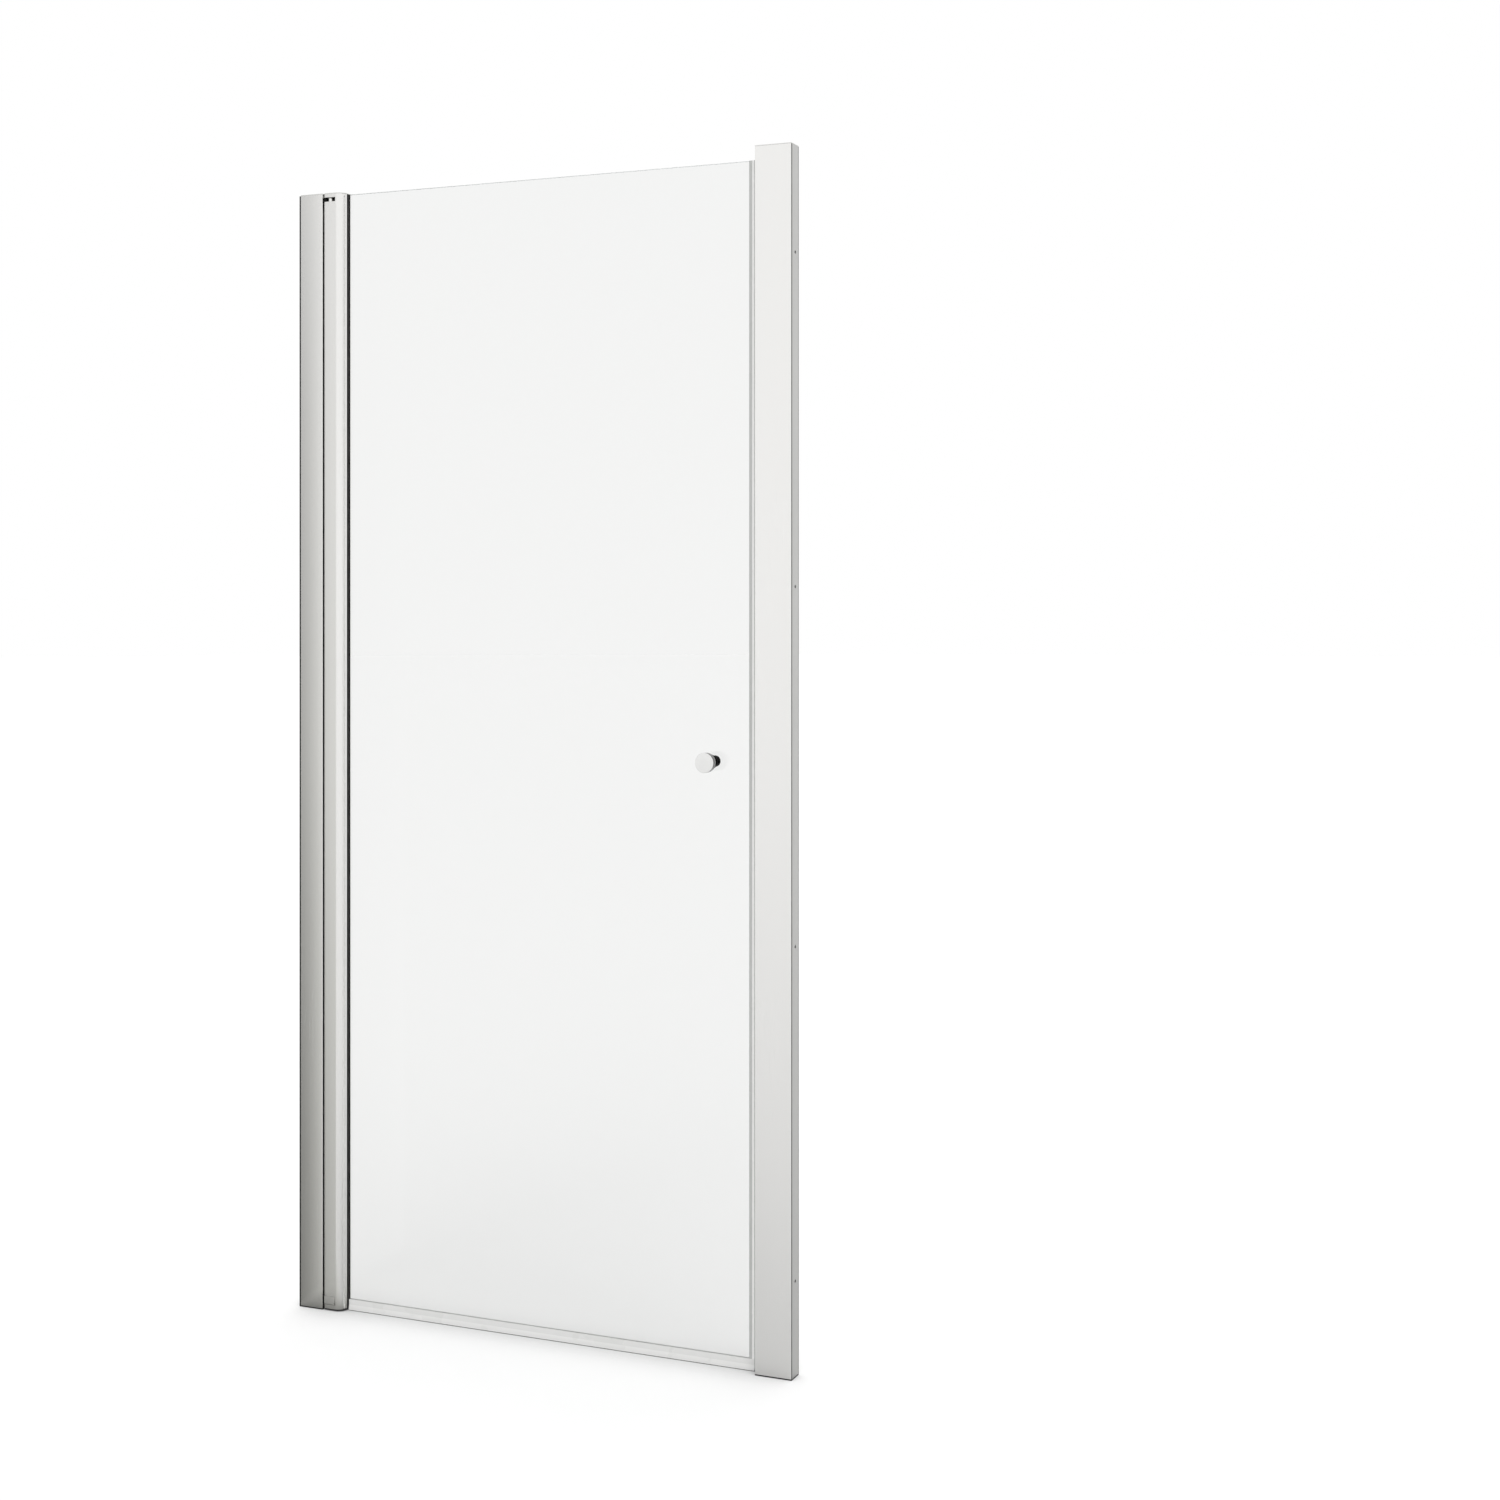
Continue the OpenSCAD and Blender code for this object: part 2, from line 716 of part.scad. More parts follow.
// The lower cap also fills the space under the glass
module hinge_cap_bottom() {
    color([0.1, 0.1, 0.1]) placed() {
        upright(floor_gap, leaf_z) hinge_body_plan();
        upright(leaf_z, leaf_z + low_plug_h) {
            chamber_outline(slack);
            nose_hollow(slack);
        }
        upright(leaf_z, glass_z - slack)
            rect(web_x1 + slack, hinge_x1 + bead_w / 2, nose_r + slack, hinge_d - wall_t - slack);
    }
}

// A rectangle with its four corners cut off at 45 degrees
module bevelled_rect(x0, x1, y0, y1, b) {
    polygon([
        [x0 + b, y0], [x1 - b, y0], [x1, y0 + b], [x1, y1 - b],
        [x1 - b, y1], [x0 + b, y1], [x0, y1 - b], [x0, y0 + b]
    ]);
}

module glass_panel() {
    color([0.8, 0.9, 0.88, 0.35]) placed() difference() {
        intersection() {
            upright(glass_z, glass_top) bevelled_rect(glass_x, glass_x1, glass_y, glass_y1, glass_bevel);
            crosswise(glass_x, glass_x1) bevelled_rect(glass_y, glass_y1, glass_z, glass_top, glass_bevel);
        }
        depth_bar(knob_x, knob_z, glass_y - 1, glass_y1 + 1, hole_r);
    }
}

// A glazing strip between glass and profile, with a round bead outside
module gasket_plan(y0, y1, bead) {
    r = (y1 - y0) / 2;
    rect(web_x1 + slack, hinge_x1 + bead - r, y0, y1);
    translate([hinge_x1 + bead - r, y0 + r]) circle(r);
}

module glass_gasket_front() {
    color([0.05, 0.05, 0.05]) placed() upright(glass_z, glass_top)
        gasket_plan(nose_r, glass_y, bead_w);
}

// The rear gasket ends flush with the profile, out of sight behind the front bead
module glass_gasket_rear() {
    color([0.05, 0.05, 0.05]) placed() upright(glass_z, glass_top)
        gasket_plan(glass_y1, hinge_d - wall_t, 0);
}

module setting_blocks() {
    low = glass_z + setting_off;
    high = glass_top - setting_off - setting_h;
    color("dimgray") placed() for (z = [low, (low + high) / 2, high])
        box(web_x1, glass_x, glass_y + slack, glass_y1 - slack, z, z + setting_h);
}

// Clips under the glass; two lips close the gap to the floor
module drip_section() {
    rect(glass_y - seal_t, glass_y, drip_web_z, drip_top);
    rect(glass_y1, glass_y1 + seal_t, drip_web_z, drip_top);
    rect(glass_y - seal_t, glass_y1 + seal_t, drip_web_z, drip_web_z1);
    polygon([
        [glass_y - 2 * seal_t, lip_gap], [glass_y - seal_t, lip_gap],
        [glass_y, drip_web_z1], [glass_y - seal_t, drip_web_z1]
    ]);
    polygon([
        [glass_y1 + seal_t, lip_gap], [glass_y1 + 2 * seal_t, lip_gap],
        [glass_y1 + seal_t, drip_web_z1], [glass_y1, drip_web_z1]
    ]);
}

module bottom_seal() {
    color([0.9, 0.92, 0.92, 0.6]) placed() crosswise(drip_x, drip_x1) drip_section();
}

// Clips on the free edge of the glass; its foot is notched over the bottom seal
module door_seal() {
    color([0.9, 0.92, 0.92, 0.7]) placed() difference() {
        upright(seal_foot_z, glass_top) {
            chamber_plan(door_chamber_x, door_seal_x1);
            rect(glass_x1, door_chamber_x + 0.1, glass_y - seal_t, glass_y1 + seal_t);
            rect(glass_x1 - seal_leg, glass_x1 + 0.1, glass_y - seal_t, glass_y);
            rect(glass_x1 - seal_leg, glass_x1 + 0.1, glass_y1, glass_y1 + seal_t);
        }
        box(glass_x1 - seal_leg - 1, drip_x1 + slack, 0, profile_d, 0, drip_top + slack);
    }
}

module door_magnet() {
    color([0.2, 0.2, 0.2]) placed() box(door_chamber_x + seal_wall, door_seal_x1 - seal_wall,
        magnet_y, magnet_y1, drip_top + slack, glass_top);
}

// A shape turned about the knob's axis, drawn as radius and distance from the glass side
module knob_turned(seat_y, direction) {
    translate([knob_x, seat_y, knob_z]) rotate([-90 * direction, 0, 0]) rotate_extrude() children();
}

module knob_front() {
    disc_s = knob_len - knob_disc_t;
    waist_r = (disc_s - knob_foot_t) / 2;
    foot_r = knob_foot_d / 2;
    disc_r = knob_d / 2;
    b = knob_bevel;
    color("silver") placed() difference() {
        knob_turned(knob_seat_y, -1) {
            difference() {
                rect(0, foot_r, 0, disc_s + b / 2);
                translate([foot_r + waist_r * 0.3, knob_foot_t + waist_r]) circle(waist_r);
            }
            polygon([
                [0, disc_s], [disc_r - b / 2, disc_s], [disc_r, disc_s + b / 2],
                [disc_r, knob_len - b], [disc_r - b, knob_len], [0, knob_len]
            ]);
        }
        depth_bar(knob_x, knob_z, knob_seat_y - stud_reach, knob_seat_y + 1, stud_r + stud_gap);
    }
}

module knob_rear() {
    r = knob_rear_d / 2;
    b = knob_bevel;
    color("silver") placed() difference() {
        knob_turned(knob_rear_y, 1) polygon([
            [0, 0], [r, 0], [r, knob_rear_len - b], [r - b, knob_rear_len], [0, knob_rear_len]
        ]);
        depth_bar(knob_x, knob_z, knob_rear_y - 1, knob_rear_y + stud_rear_reach, stud_r + stud_gap);
    }
}

module knob_stud() {
    color("lightgray") placed() depth_bar(knob_x, knob_z, knob_seat_y - stud_reach + slack,
        knob_rear_y + stud_rear_reach - slack, stud_r);
}

module knob_sleeve() {
    color("white") placed() difference() {
        depth_bar(knob_x, knob_z, glass_y, glass_y1, hole_r - 2 * stud_gap);
        depth_bar(knob_x, knob_z, glass_y - 1, glass_y1 + 1, stud_r + stud_gap);
    }
}

module knob_washers() {
    color("whitesmoke") placed() {
        difference() {
            depth_bar(knob_x, knob_z, knob_seat_y, glass_y, knob_foot_d / 2 - 1);
            depth_bar(knob_x, knob_z, knob_seat_y - 1, glass_y + 1, stud_r + slack);
        }
        difference() {
            depth_bar(knob_x, knob_z, glass_y1, knob_rear_y, knob_rear_d / 2 - 1);
            depth_bar(knob_x, knob_z, glass_y1 - 1, knob_rear_y + 1, stud_r + slack);
        }
    }
}

wall_channel_left();
wall_profile_left();
adjust_screws_left();
top_cap_left();
hinge_arm_top();
hinge_arm_bottom();
hinge_pin_top();
hinge_pin_bottom();
arm_screws();
hinge_gap_seal();
wall_seal_left();
foot_pad_left();
wall_channel_right();
strike_profile();
adjust_screws_right();
top_cap_right();
strike_seal();
strike_magnet();
wall_seal_right();
foot_pad_right();
hinge_profile();
hinge_block_top();
hinge_block_bottom();
bush_top();
bush_bottom();
thrust_washer();
block_screws();
hinge_cap_top();
hinge_cap_bottom();
glass_panel();
glass_gasket_front();
glass_gasket_rear();
setting_blocks();
bottom_seal();
door_seal();
door_magnet();
knob_front();
knob_rear();
knob_stud();
knob_sleeve();
knob_washers();
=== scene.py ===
import json
import math
import bmesh
import bpy
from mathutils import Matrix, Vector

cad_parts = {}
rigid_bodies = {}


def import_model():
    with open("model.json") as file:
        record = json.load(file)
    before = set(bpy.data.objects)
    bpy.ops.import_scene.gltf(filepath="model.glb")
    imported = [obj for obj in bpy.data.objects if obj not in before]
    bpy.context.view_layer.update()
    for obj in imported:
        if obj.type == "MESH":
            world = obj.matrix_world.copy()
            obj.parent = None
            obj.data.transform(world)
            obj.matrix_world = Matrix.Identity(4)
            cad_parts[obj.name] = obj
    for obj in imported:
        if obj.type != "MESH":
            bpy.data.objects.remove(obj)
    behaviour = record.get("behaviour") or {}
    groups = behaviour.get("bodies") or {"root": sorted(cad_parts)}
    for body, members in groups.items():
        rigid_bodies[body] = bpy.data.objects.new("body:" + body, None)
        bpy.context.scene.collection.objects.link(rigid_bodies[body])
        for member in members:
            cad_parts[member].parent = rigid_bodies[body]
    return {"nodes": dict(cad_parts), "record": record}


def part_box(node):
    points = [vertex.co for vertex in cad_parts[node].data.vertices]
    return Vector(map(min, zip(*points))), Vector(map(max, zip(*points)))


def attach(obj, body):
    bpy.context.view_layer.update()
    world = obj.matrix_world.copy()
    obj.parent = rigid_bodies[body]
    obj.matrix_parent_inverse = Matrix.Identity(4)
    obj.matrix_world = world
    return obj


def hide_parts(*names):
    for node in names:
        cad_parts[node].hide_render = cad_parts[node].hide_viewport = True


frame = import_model()
for leftover in [o for o in bpy.data.objects if o.name in ("Cube", "Light", "Camera")]:
    bpy.data.objects.remove(leftover)
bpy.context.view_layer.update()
bodyOf = {node: body for body, nodes in frame["record"]["behaviour"]["bodies"].items() for node in nodes}
mm = 0.001
mergeDistance = 1e-6
glassLow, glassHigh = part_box("glass_panel")
webPlay = 0.2 * mm
webTop = glassLow.z - webPlay  # the bottom seal's web lies just under the glass
print("stage: frame loaded,", len(frame["nodes"]), "nodes")


# Nodes, objects and meshes, in the few lines that all pieces and finishes need

# Sets a node's sockets to values, or links them to other sockets
def feed(tree, node, values):
    for socket, value in values.items():
        if isinstance(value, bpy.types.NodeSocket):
            tree.links.new(value, node.inputs[socket])
        else:
            node.inputs[socket].default_value = value


def addNode(tree, kind, values, **settings):
    node = tree.nodes.new(kind)
    for setting, value in settings.items():
        setattr(node, setting, value)
    feed(tree, node, values)
    return node


# Adds a node and gives one of its outputs
def outOf(tree, kind, values, output=0, **settings):
    return addNode(tree, kind, values, **settings).outputs[output]


def newGroup(name, kind, inputs, outputs):
    group = bpy.data.node_groups.new(name, kind + "NodeTree")
    for direction, sockets in (("INPUT", inputs), ("OUTPUT", outputs)):
        for label, socketKind in sockets.items():
            group.interface.new_socket(label, in_out=direction, socket_type="NodeSocket" + socketKind)
    return group, group.nodes.new("NodeGroupInput").outputs, group.nodes.new("NodeGroupOutput")


def addObject(name, data):
    thing = bpy.data.objects.new(name, data)
    bpy.context.collection.objects.link(thing)
    return thing


def addMesh(name, shape, materials=()):
    data = bpy.data.meshes.new(name)
    shape.to_mesh(data)
    shape.free()
    for material in materials:
        data.materials.append(material)
    return addObject(name, data)


# A solid comes as loose triangles: a copy is merged, and its level faces are made one
def mergedCopy(node, levelDeg=0.5):
    shape = bmesh.new()
    shape.from_mesh(frame["nodes"][node].data)
    bmesh.ops.remove_doubles(shape, verts=shape.verts, dist=mergeDistance)
    bmesh.ops.dissolve_limit(shape, angle_limit=math.radians(levelDeg), verts=shape.verts, edges=shape.edges)
    return shape


# Camera: level, a little under chest height, turned towards the hinge side
cameraSizes = {
    "lens": 52.2, "sensor": 36, "turnDeg": 22.94, "x": 1.7065, "y": -3.1395, "height": 1.219,
    "shiftY": -0.1043, "nearest": 0.05, "farthest": 100}


def makeCamera(s):
    data = bpy.data.cameras.new("photoCamera")
    data.lens = s["lens"]
    data.sensor_width = s["sensor"]
    data.shift_y = s["shiftY"]
    data.clip_start, data.clip_end = s["nearest"], s["farthest"]
    camera = addObject("photoCamera", data)
    camera.location = (s["x"], s["y"], s["height"])
    camera.rotation_euler = (math.radians(90), 0, math.radians(s["turnDeg"]))
    bpy.context.scene.camera = camera


makeCamera(cameraSizes)
bpy.context.scene.view_settings.view_transform = "Standard"
print("stage: camera set")


# Shader groups that several finishes share

def opaque(colour):
    return (*colour, 1)


def mathNode(tree, operation, a, b):
    return outOf(tree, "ShaderNodeMath", {0: a, 1: b}, operation=operation)


def product(tree, first, *others):
    for other in others:
        first = mathNode(tree, "MULTIPLY", first, other)
    return first


def inverse(tree, value):
    return mathNode(tree, "SUBTRACT", 1.0, value)


def greyOf(tree, value):
    return outOf(tree, "ShaderNodeCombineColor", {channel: value for channel in range(3)})


# The Mix node takes its colours at sockets 6 and 7 and gives one at 2
def mixColour(tree, factor, a, b, blend="MIX"):
    a, b = (opaque(tone) if isinstance(tone, tuple) else tone for tone in (a, b))
    return outOf(tree, "ShaderNodeMix", {0: factor, 6: a, 7: b}, 2, data_type="RGBA", blend_type=blend)


def noiseNode(tree, vector, scale, detail, roughness=0.55):
    return outOf(tree, "ShaderNodeTexNoise",
                 {"Vector": vector, "Scale": scale, "Detail": detail, "Roughness": roughness}, "Fac")


def mapRange(tree, value, fromMin, fromMax, toMin=0.0, toMax=1.0):
    return outOf(tree, "ShaderNodeMapRange", dict(enumerate((value, fromMin, fromMax, toMin, toMax))))


# Fine lines along drawn or turned metal, with slow changes of tone and gloss between them
drawnLineSizes = {
    "detail": 4.0, "roughness": 0.6, "middle": 0.5, "patchScale": 5.0, "patchDetail": 2.0, "lineShare": 0.6,
    "glossRange": (0.3, 0.7)}


def makeDrawnLines(s):
    group, given, made = newGroup("drawnLines", "Shader", {
        "Vector": "Vector", "Stretch": "Vector", "Fineness": "Float", "Tone depth": "Float",
        "Rough low": "Float", "Rough high": "Float", "Colour": "Color"},
        {"Colour": "Color", "Roughness": "Float", "Height": "Float"})
    drawn = outOf(group, "ShaderNodeVectorMath", {0: given["Vector"], 1: given["Stretch"]},
                  operation="MULTIPLY")
    lines = noiseNode(group, drawn, given["Fineness"], s["detail"], s["roughness"])
    patches = noiseNode(group, given["Vector"], s["patchScale"], s["patchDetail"])
    tone = product(group, mathNode(group, "SUBTRACT", lines, s["middle"]), given["Tone depth"])
    grey = greyOf(group, mathNode(group, "ADD", 1.0, tone))
    blend = mathNode(group, "ADD", product(group, lines, s["lineShare"]),
                     product(group, patches, 1 - s["lineShare"]))
    feed(group, made, {
        "Colour": mixColour(group, 1.0, given["Colour"], grey, "MULTIPLY"),
        "Roughness": mapRange(group, blend, *s["glossRange"], given["Rough low"], given["Rough high"]),
        "Height": lines})
    return group


# Pores and mottling of moulded or coated surfaces
mouldedSkinSizes = {
    "poreDetail": 2.0, "mottleDetail": 3.0, "rubbedRange": (0.45, 0.75), "glossRange": (0.3, 0.7)}


def makeMouldedSkin(s):
    group, given, made = newGroup("mouldedSkin", "Shader", {
        "Vector": "Vector", "Pore scale": "Float", "Mottle scale": "Float", "Mottle": "Float",
        "Rough low": "Float", "Rough high": "Float", "Colour": "Color", "Rubbed colour": "Color"},
        {"Colour": "Color", "Roughness": "Float", "Height": "Float"})
    mottle = noiseNode(group, given["Vector"], given["Mottle scale"], s["mottleDetail"])
    rubbed = product(group, mapRange(group, mottle, *s["rubbedRange"]), given["Mottle"])
    feed(group, made, {
        "Colour": mixColour(group, rubbed, given["Colour"], given["Rubbed colour"]),
        "Roughness": mapRange(group, mottle, *s["glossRange"], given["Rough high"], given["Rough low"]),
        "Height": noiseNode(group, given["Vector"], given["Pore scale"], s["poreDetail"])})
    return group


# Faint dried drops and wiping marks, for what gets wet and is wiped
waterMarkSizes = {"dropShare": 0.16, "wipeScale": 3.0, "wipeDetail": 2.0, "wipeRange": (0.4, 0.65)}


def makeWaterMarks(s):
    group, given, made = newGroup("waterMarks", "Shader", {
        "Vector": "Vector", "Drop scale": "Float", "Clean rough": "Float", "Marked rough": "Float"},
        {"Mask": "Float", "Roughness": "Float"})
    cells = outOf(group, "ShaderNodeTexVoronoi", {"Vector": given["Vector"], "Scale": given["Drop scale"]},
                  "Distance")
    wiped = noiseNode(group, given["Vector"], s["wipeScale"], s["wipeDetail"])
    drops = mapRange(group, cells, s["dropShare"], 0.0)
    mask = product(group, drops, mapRange(group, wiped, *s["wipeRange"]))
    feed(group, made, {
        "Mask": mask,
        "Roughness": mapRange(group, mask, 0.0, 1.0, given["Clean rough"], given["Marked rough"])})
    return group


drawnLines = makeDrawnLines(drawnLineSizes)
mouldedSkin = makeMouldedSkin(mouldedSkinSizes)
waterMarks = makeWaterMarks(waterMarkSizes)


# Finishes

def newMaterial(name):
    material = bpy.data.materials.new(name)
    material.use_nodes = True
    material.node_tree.nodes.clear()
    return material, material.node_tree


# With a shade given, light passes the finish for shadows, so that the floor behind glass stays lit
def newFinish(name, shade=None):
    material, tree = newMaterial(name)
    shader = tree.nodes.new("ShaderNodeBsdfPrincipled")
    surface = shader.outputs[0]
    if shade:
        shadowRay = outOf(tree, "ShaderNodeLightPath", {}, "Is Shadow Ray")
        clear = outOf(tree, "ShaderNodeBsdfTransparent", {"Color": opaque(shade)})
        surface = outOf(tree, "ShaderNodeMixShader", {0: shadowRay, 1: surface, 2: clear})
    addNode(tree, "ShaderNodeOutputMaterial", {"Surface": surface})
    return material, tree, shader, outOf(tree, "ShaderNodeTexCoord", {}, "Object")


def placeGroup(tree, group, values):
    return addNode(tree, "ShaderNodeGroup", values, node_tree=group).outputs


def bumpOf(tree, height, distance):
    return outOf(tree, "ShaderNodeBump", {"Height": height, "Distance": distance})


# Drawn metal: anodised extrusions, turned pins and screws
def drawnMetal(name, s):
    material, tree, shader, place = newFinish(name)
    lines = placeGroup(tree, drawnLines, {
        "Vector": place, "Stretch": s["stretch"], "Fineness": s["fineness"], "Tone depth": s["toneDepth"],
        "Rough low": s["rough"][0], "Rough high": s["rough"][1], "Colour": opaque(s["colour"])})
    feed(tree, shader, {
        "Base Color": lines["Colour"], "Roughness": lines["Roughness"], "Metallic": 1.0,
        "Normal": bumpOf(tree, lines["Height"], s["bump"])})
    return material


# Moulded plastic, rubber and coating; a seal in several tones has zones, each from a place along one axis
def moulded(name, s):
    material, tree, shader, place = newFinish(name)
    skin = placeGroup(tree, mouldedSkin, {
        "Vector": place, "Pore scale": s["poreScale"], "Mottle scale": s["mottleScale"],
        "Mottle": s["mottle"], "Rough low": s["rough"][0], "Rough high": s["rough"][1],
        "Colour": opaque(s["colour"]), "Rubbed colour": opaque(s["rubbed"])})
    colour = skin["Colour"]
    if "zones" in s:
        along = outOf(tree, "ShaderNodeSeparateXYZ", {0: place}, s["axis"])
        tone = s["first"]
        for start, nextTone in s["zones"]:
            tone = mixColour(tree, mathNode(tree, "GREATER_THAN", along, start), tone, nextTone)
        colour = mixColour(tree, 1.0, colour, tone, "MULTIPLY")
    feed(tree, shader, {
        "Base Color": colour, "Roughness": skin["Roughness"], "Metallic": s.get("metallic", 0.0),
        "IOR": s.get("ior", 1.5), "Specular IOR Level": s.get("specular", 0.5),
        "Normal": bumpOf(tree, skin["Height"], s["bump"])})
    return material


# Polished metal and glass, both with a few dried drops
def dropMarked(tree, shader, place, s):
    marks = placeGroup(tree, waterMarks, {
        "Vector": place, "Drop scale": s["dropScale"], "Clean rough": s["rough"][0],
        "Marked rough": s["rough"][1]})
    feed(tree, shader, {
        "Base Color": mixColour(tree, marks["Mask"], s["colour"], s["marked"]),
        "Roughness": marks["Roughness"]})


def polishedMetal(name, s):
    material, tree, shader, place = newFinish(name)
    dropMarked(tree, shader, place, s)
    feed(tree, shader, {"Metallic": 1.0})
    return material


def clearGlass(name, s):
    material, tree, shader, place = newFinish(name, s["shade"])
    dropMarked(tree, shader, place, s)
    feed(tree, shader, {
        "Transmission Weight": 1.0, "IOR": s["ior"], "Specular IOR Level": s.get("specular", 0.5)})
    return material


sealSkin = {"poreScale": 1200.0, "mottleScale": 12.0, "rough": (0.22, 0.36), "bump": 0.008 * mm, "ior": 1.45}
zonedSkin = {**sealSkin, "colour": (1, 1, 1), "rubbed": (0.93, 0.94, 0.92), "mottle": 0.5}
finishValues = {
    "satinAluminium": (drawnMetal, {
        "colour": (0.865, 0.860, 0.845), "rough": (0.23, 0.28), "toneDepth": 0.035, "fineness": 2200.0,
        "stretch": (1.0, 1.0, 0.004), "bump": 0.0015 * mm}),
    "millAluminium": (drawnMetal, {
        "colour": (0.55, 0.55, 0.54), "rough": (0.34, 0.50), "toneDepth": 0.14, "fineness": 500.0,
        "stretch": (1.0, 1.0, 0.01), "bump": 0.012 * mm}),
    "turnedSteel": (drawnMetal, {
        "colour": (0.88, 0.875, 0.86), "rough": (0.20, 0.32), "toneDepth": 0.05, "fineness": 1500.0,
        "stretch": (0.02, 0.02, 1.0), "bump": 0.006 * mm}),
    "capPlastic": (moulded, {
        "colour": (0.72, 0.72, 0.70), "rubbed": (0.78, 0.78, 0.76), "rough": (0.34, 0.46), "mottle": 0.25,
        "poreScale": 1600.0, "mottleScale": 80.0, "bump": 0.010 * mm, "metallic": 0.6}),
    "blackCoat": (moulded, {
        "colour": (0.006, 0.006, 0.006), "rubbed": (0.016, 0.016, 0.015), "rough": (0.38, 0.55),
        "mottle": 0.3, "poreScale": 1200.0, "mottleScale": 90.0, "bump": 0.012 * mm, "specular": 0.08}),
    "blockNylon": (moulded, {
        "colour": (0.028, 0.028, 0.030), "rubbed": (0.06, 0.06, 0.06), "rough": (0.42, 0.60), "mottle": 0.4,
        "poreScale": 1000.0, "mottleScale": 70.0, "bump": 0.015 * mm}),
    "bearingPlastic": (moulded, {
        "colour": (0.80, 0.80, 0.77), "rubbed": (0.68, 0.67, 0.62), "rough": (0.25, 0.40), "mottle": 0.3,
        "poreScale": 1500.0, "mottleScale": 120.0, "bump": 0.006 * mm}),
    "blackRubber": (moulded, {
        "colour": (0.006, 0.006, 0.006), "rubbed": (0.020, 0.020, 0.020), "rough": (0.48, 0.68),
        "mottle": 0.5, "poreScale": 1800.0, "mottleScale": 40.0, "bump": 0.010 * mm}),
    "milkySeal": (moulded, {
        **sealSkin, "colour": (0.83, 0.84, 0.83), "rubbed": (0.78, 0.79, 0.77), "mottle": 0.4}),
    # past the chamber, next to the strike profile, the darkest zone is a painted shadow line
    "edgeSeal": (moulded, {
        **zonedSkin, "axis": "X", "first": (0.56, 0.57, 0.56),
        "zones": ((glassHigh.x, (0.96, 0.96, 0.95)), (glassHigh.x + 4.1 * mm, (0.50, 0.50, 0.49)))}),
    "dripSeal": (moulded, {
        **zonedSkin, "axis": "Z", "first": (0.90, 0.90, 0.89), "zones": ((webTop, (0.82, 0.82, 0.81)),)}),
    "magnetStrip": (moulded, {
        "colour": (0.10, 0.10, 0.10), "rubbed": (0.14, 0.14, 0.14), "rough": (0.5, 0.7), "mottle": 0.4,
        "poreScale": 900.0, "mottleScale": 90.0, "bump": 0.015 * mm}),
    "brightChrome": (polishedMetal, {
        "colour": (0.83, 0.83, 0.82), "marked": (0.76, 0.77, 0.77), "rough": (0.22, 0.28),
        "dropScale": 260.0}),
    # darkened chrome: a painted dark reflection for the knob's rim
    "smokedRim": (polishedMetal, {
        "colour": (0.17, 0.17, 0.17), "marked": (0.20, 0.20, 0.20), "rough": (0.12, 0.20),
        "dropScale": 260.0}),
    "knobBlack": (moulded, {
        "colour": (0.003, 0.003, 0.003), "rubbed": (0.007, 0.007, 0.007), "rough": (0.26, 0.38),
        "mottle": 0.3, "poreScale": 1500.0, "mottleScale": 120.0, "bump": 0.003 * mm, "specular": 0.01}),
    "clearGlass": (clearGlass, {
        "colour": (0.900, 0.903, 0.897), "marked": (0.885, 0.888, 0.882), "rough": (0.0, 0.03),
        "dropScale": 45.0, "ior": 1.45, "specular": 0.12, "shade": (0.93, 0.95, 0.94)}),
    "groundEdge": (clearGlass, {
        "colour": (0.82, 0.87, 0.85), "marked": (0.84, 0.89, 0.87), "rough": (0.22, 0.34),
        "dropScale": 300.0, "ior": 1.45, "shade": (0.88, 0.92, 0.90)}),
}
finishes = {name: makeFinish(name, values) for name, (makeFinish, values) in finishValues.items()}
print("stage: finishes made,", len(finishes))


# Outlines: lists of (x, y) in metres, with round stretches as arcs

def arc(cx, cy, radius, fromDeg, toDeg, steps):
    turn = [math.radians(fromDeg + (toDeg - fromDeg) * i / steps) for i in range(steps + 1)]
    return [(cx + radius * math.cos(a), cy + radius * math.sin(a)) for a in turn]


# A rounded outer corner at (x, y); fromDeg is -90, 0, 90 or 180, on round from the lower right
def bend(x, y, radius, fromDeg, steps):
    middle = math.radians(fromDeg + 45)
    cx = x - math.copysign(radius, math.cos(middle))
    cy = y - math.copysign(radius, math.sin(middle))
    return arc(cx, cy, radius, fromDeg, fromDeg + 90, steps)


def softRect(x0, x1, y0, y1, radius, steps):
    return (bend(x1, y0, radius, -90, steps) + bend(x1, y1, radius, 0, steps)
            + bend(x0, y1, radius, 90, steps) + bend(x0, y0, radius, 180, steps))


def sectionCurve(name, loops):
    data = bpy.data.curves.new(name, "CURVE")
    data.dimensions = "3D"
    for loop in loops:
        spline = data.splines.new("POLY")
        spline.points.add(len(loop) - 1)
        for point, (x, y) in zip(spline.points, loop):
            point.co = (x, y, 0, 1)
        spline.use_cyclic_u = True
    return addObject(name, data)


# Geometry nodes

def moved(tree, geometry, how, value):
    return outOf(tree, "GeometryNodeTransform", {"Geometry": geometry, how: value})


def alongZ(tree, value):
    return outOf(tree, "ShaderNodeCombineXYZ", {"Z": value})


def joined(tree, *parts):
    join = tree.nodes.new("GeometryNodeJoinGeometry")
    for part in parts:
        tree.links.new(part, join.inputs[0])
    return join.outputs[0]


def smoothByAngle(tree, geometry, degrees=32):
    angle = outOf(tree, "GeometryNodeInputMeshEdgeAngle", {})
    sharp = outOf(tree, "FunctionNodeCompare", {0: angle, 1: math.radians(degrees)},
                  data_type="FLOAT", operation="GREATER_THAN")
    smooth = outOf(tree, "GeometryNodeSetShadeSmooth", {"Geometry": geometry, "Shade Smooth": True},
                   domain="FACE")
    return outOf(tree, "GeometryNodeSetShadeSmooth",
                 {"Geometry": smooth, "Selection": sharp, "Shade Smooth": False}, domain="EDGE")


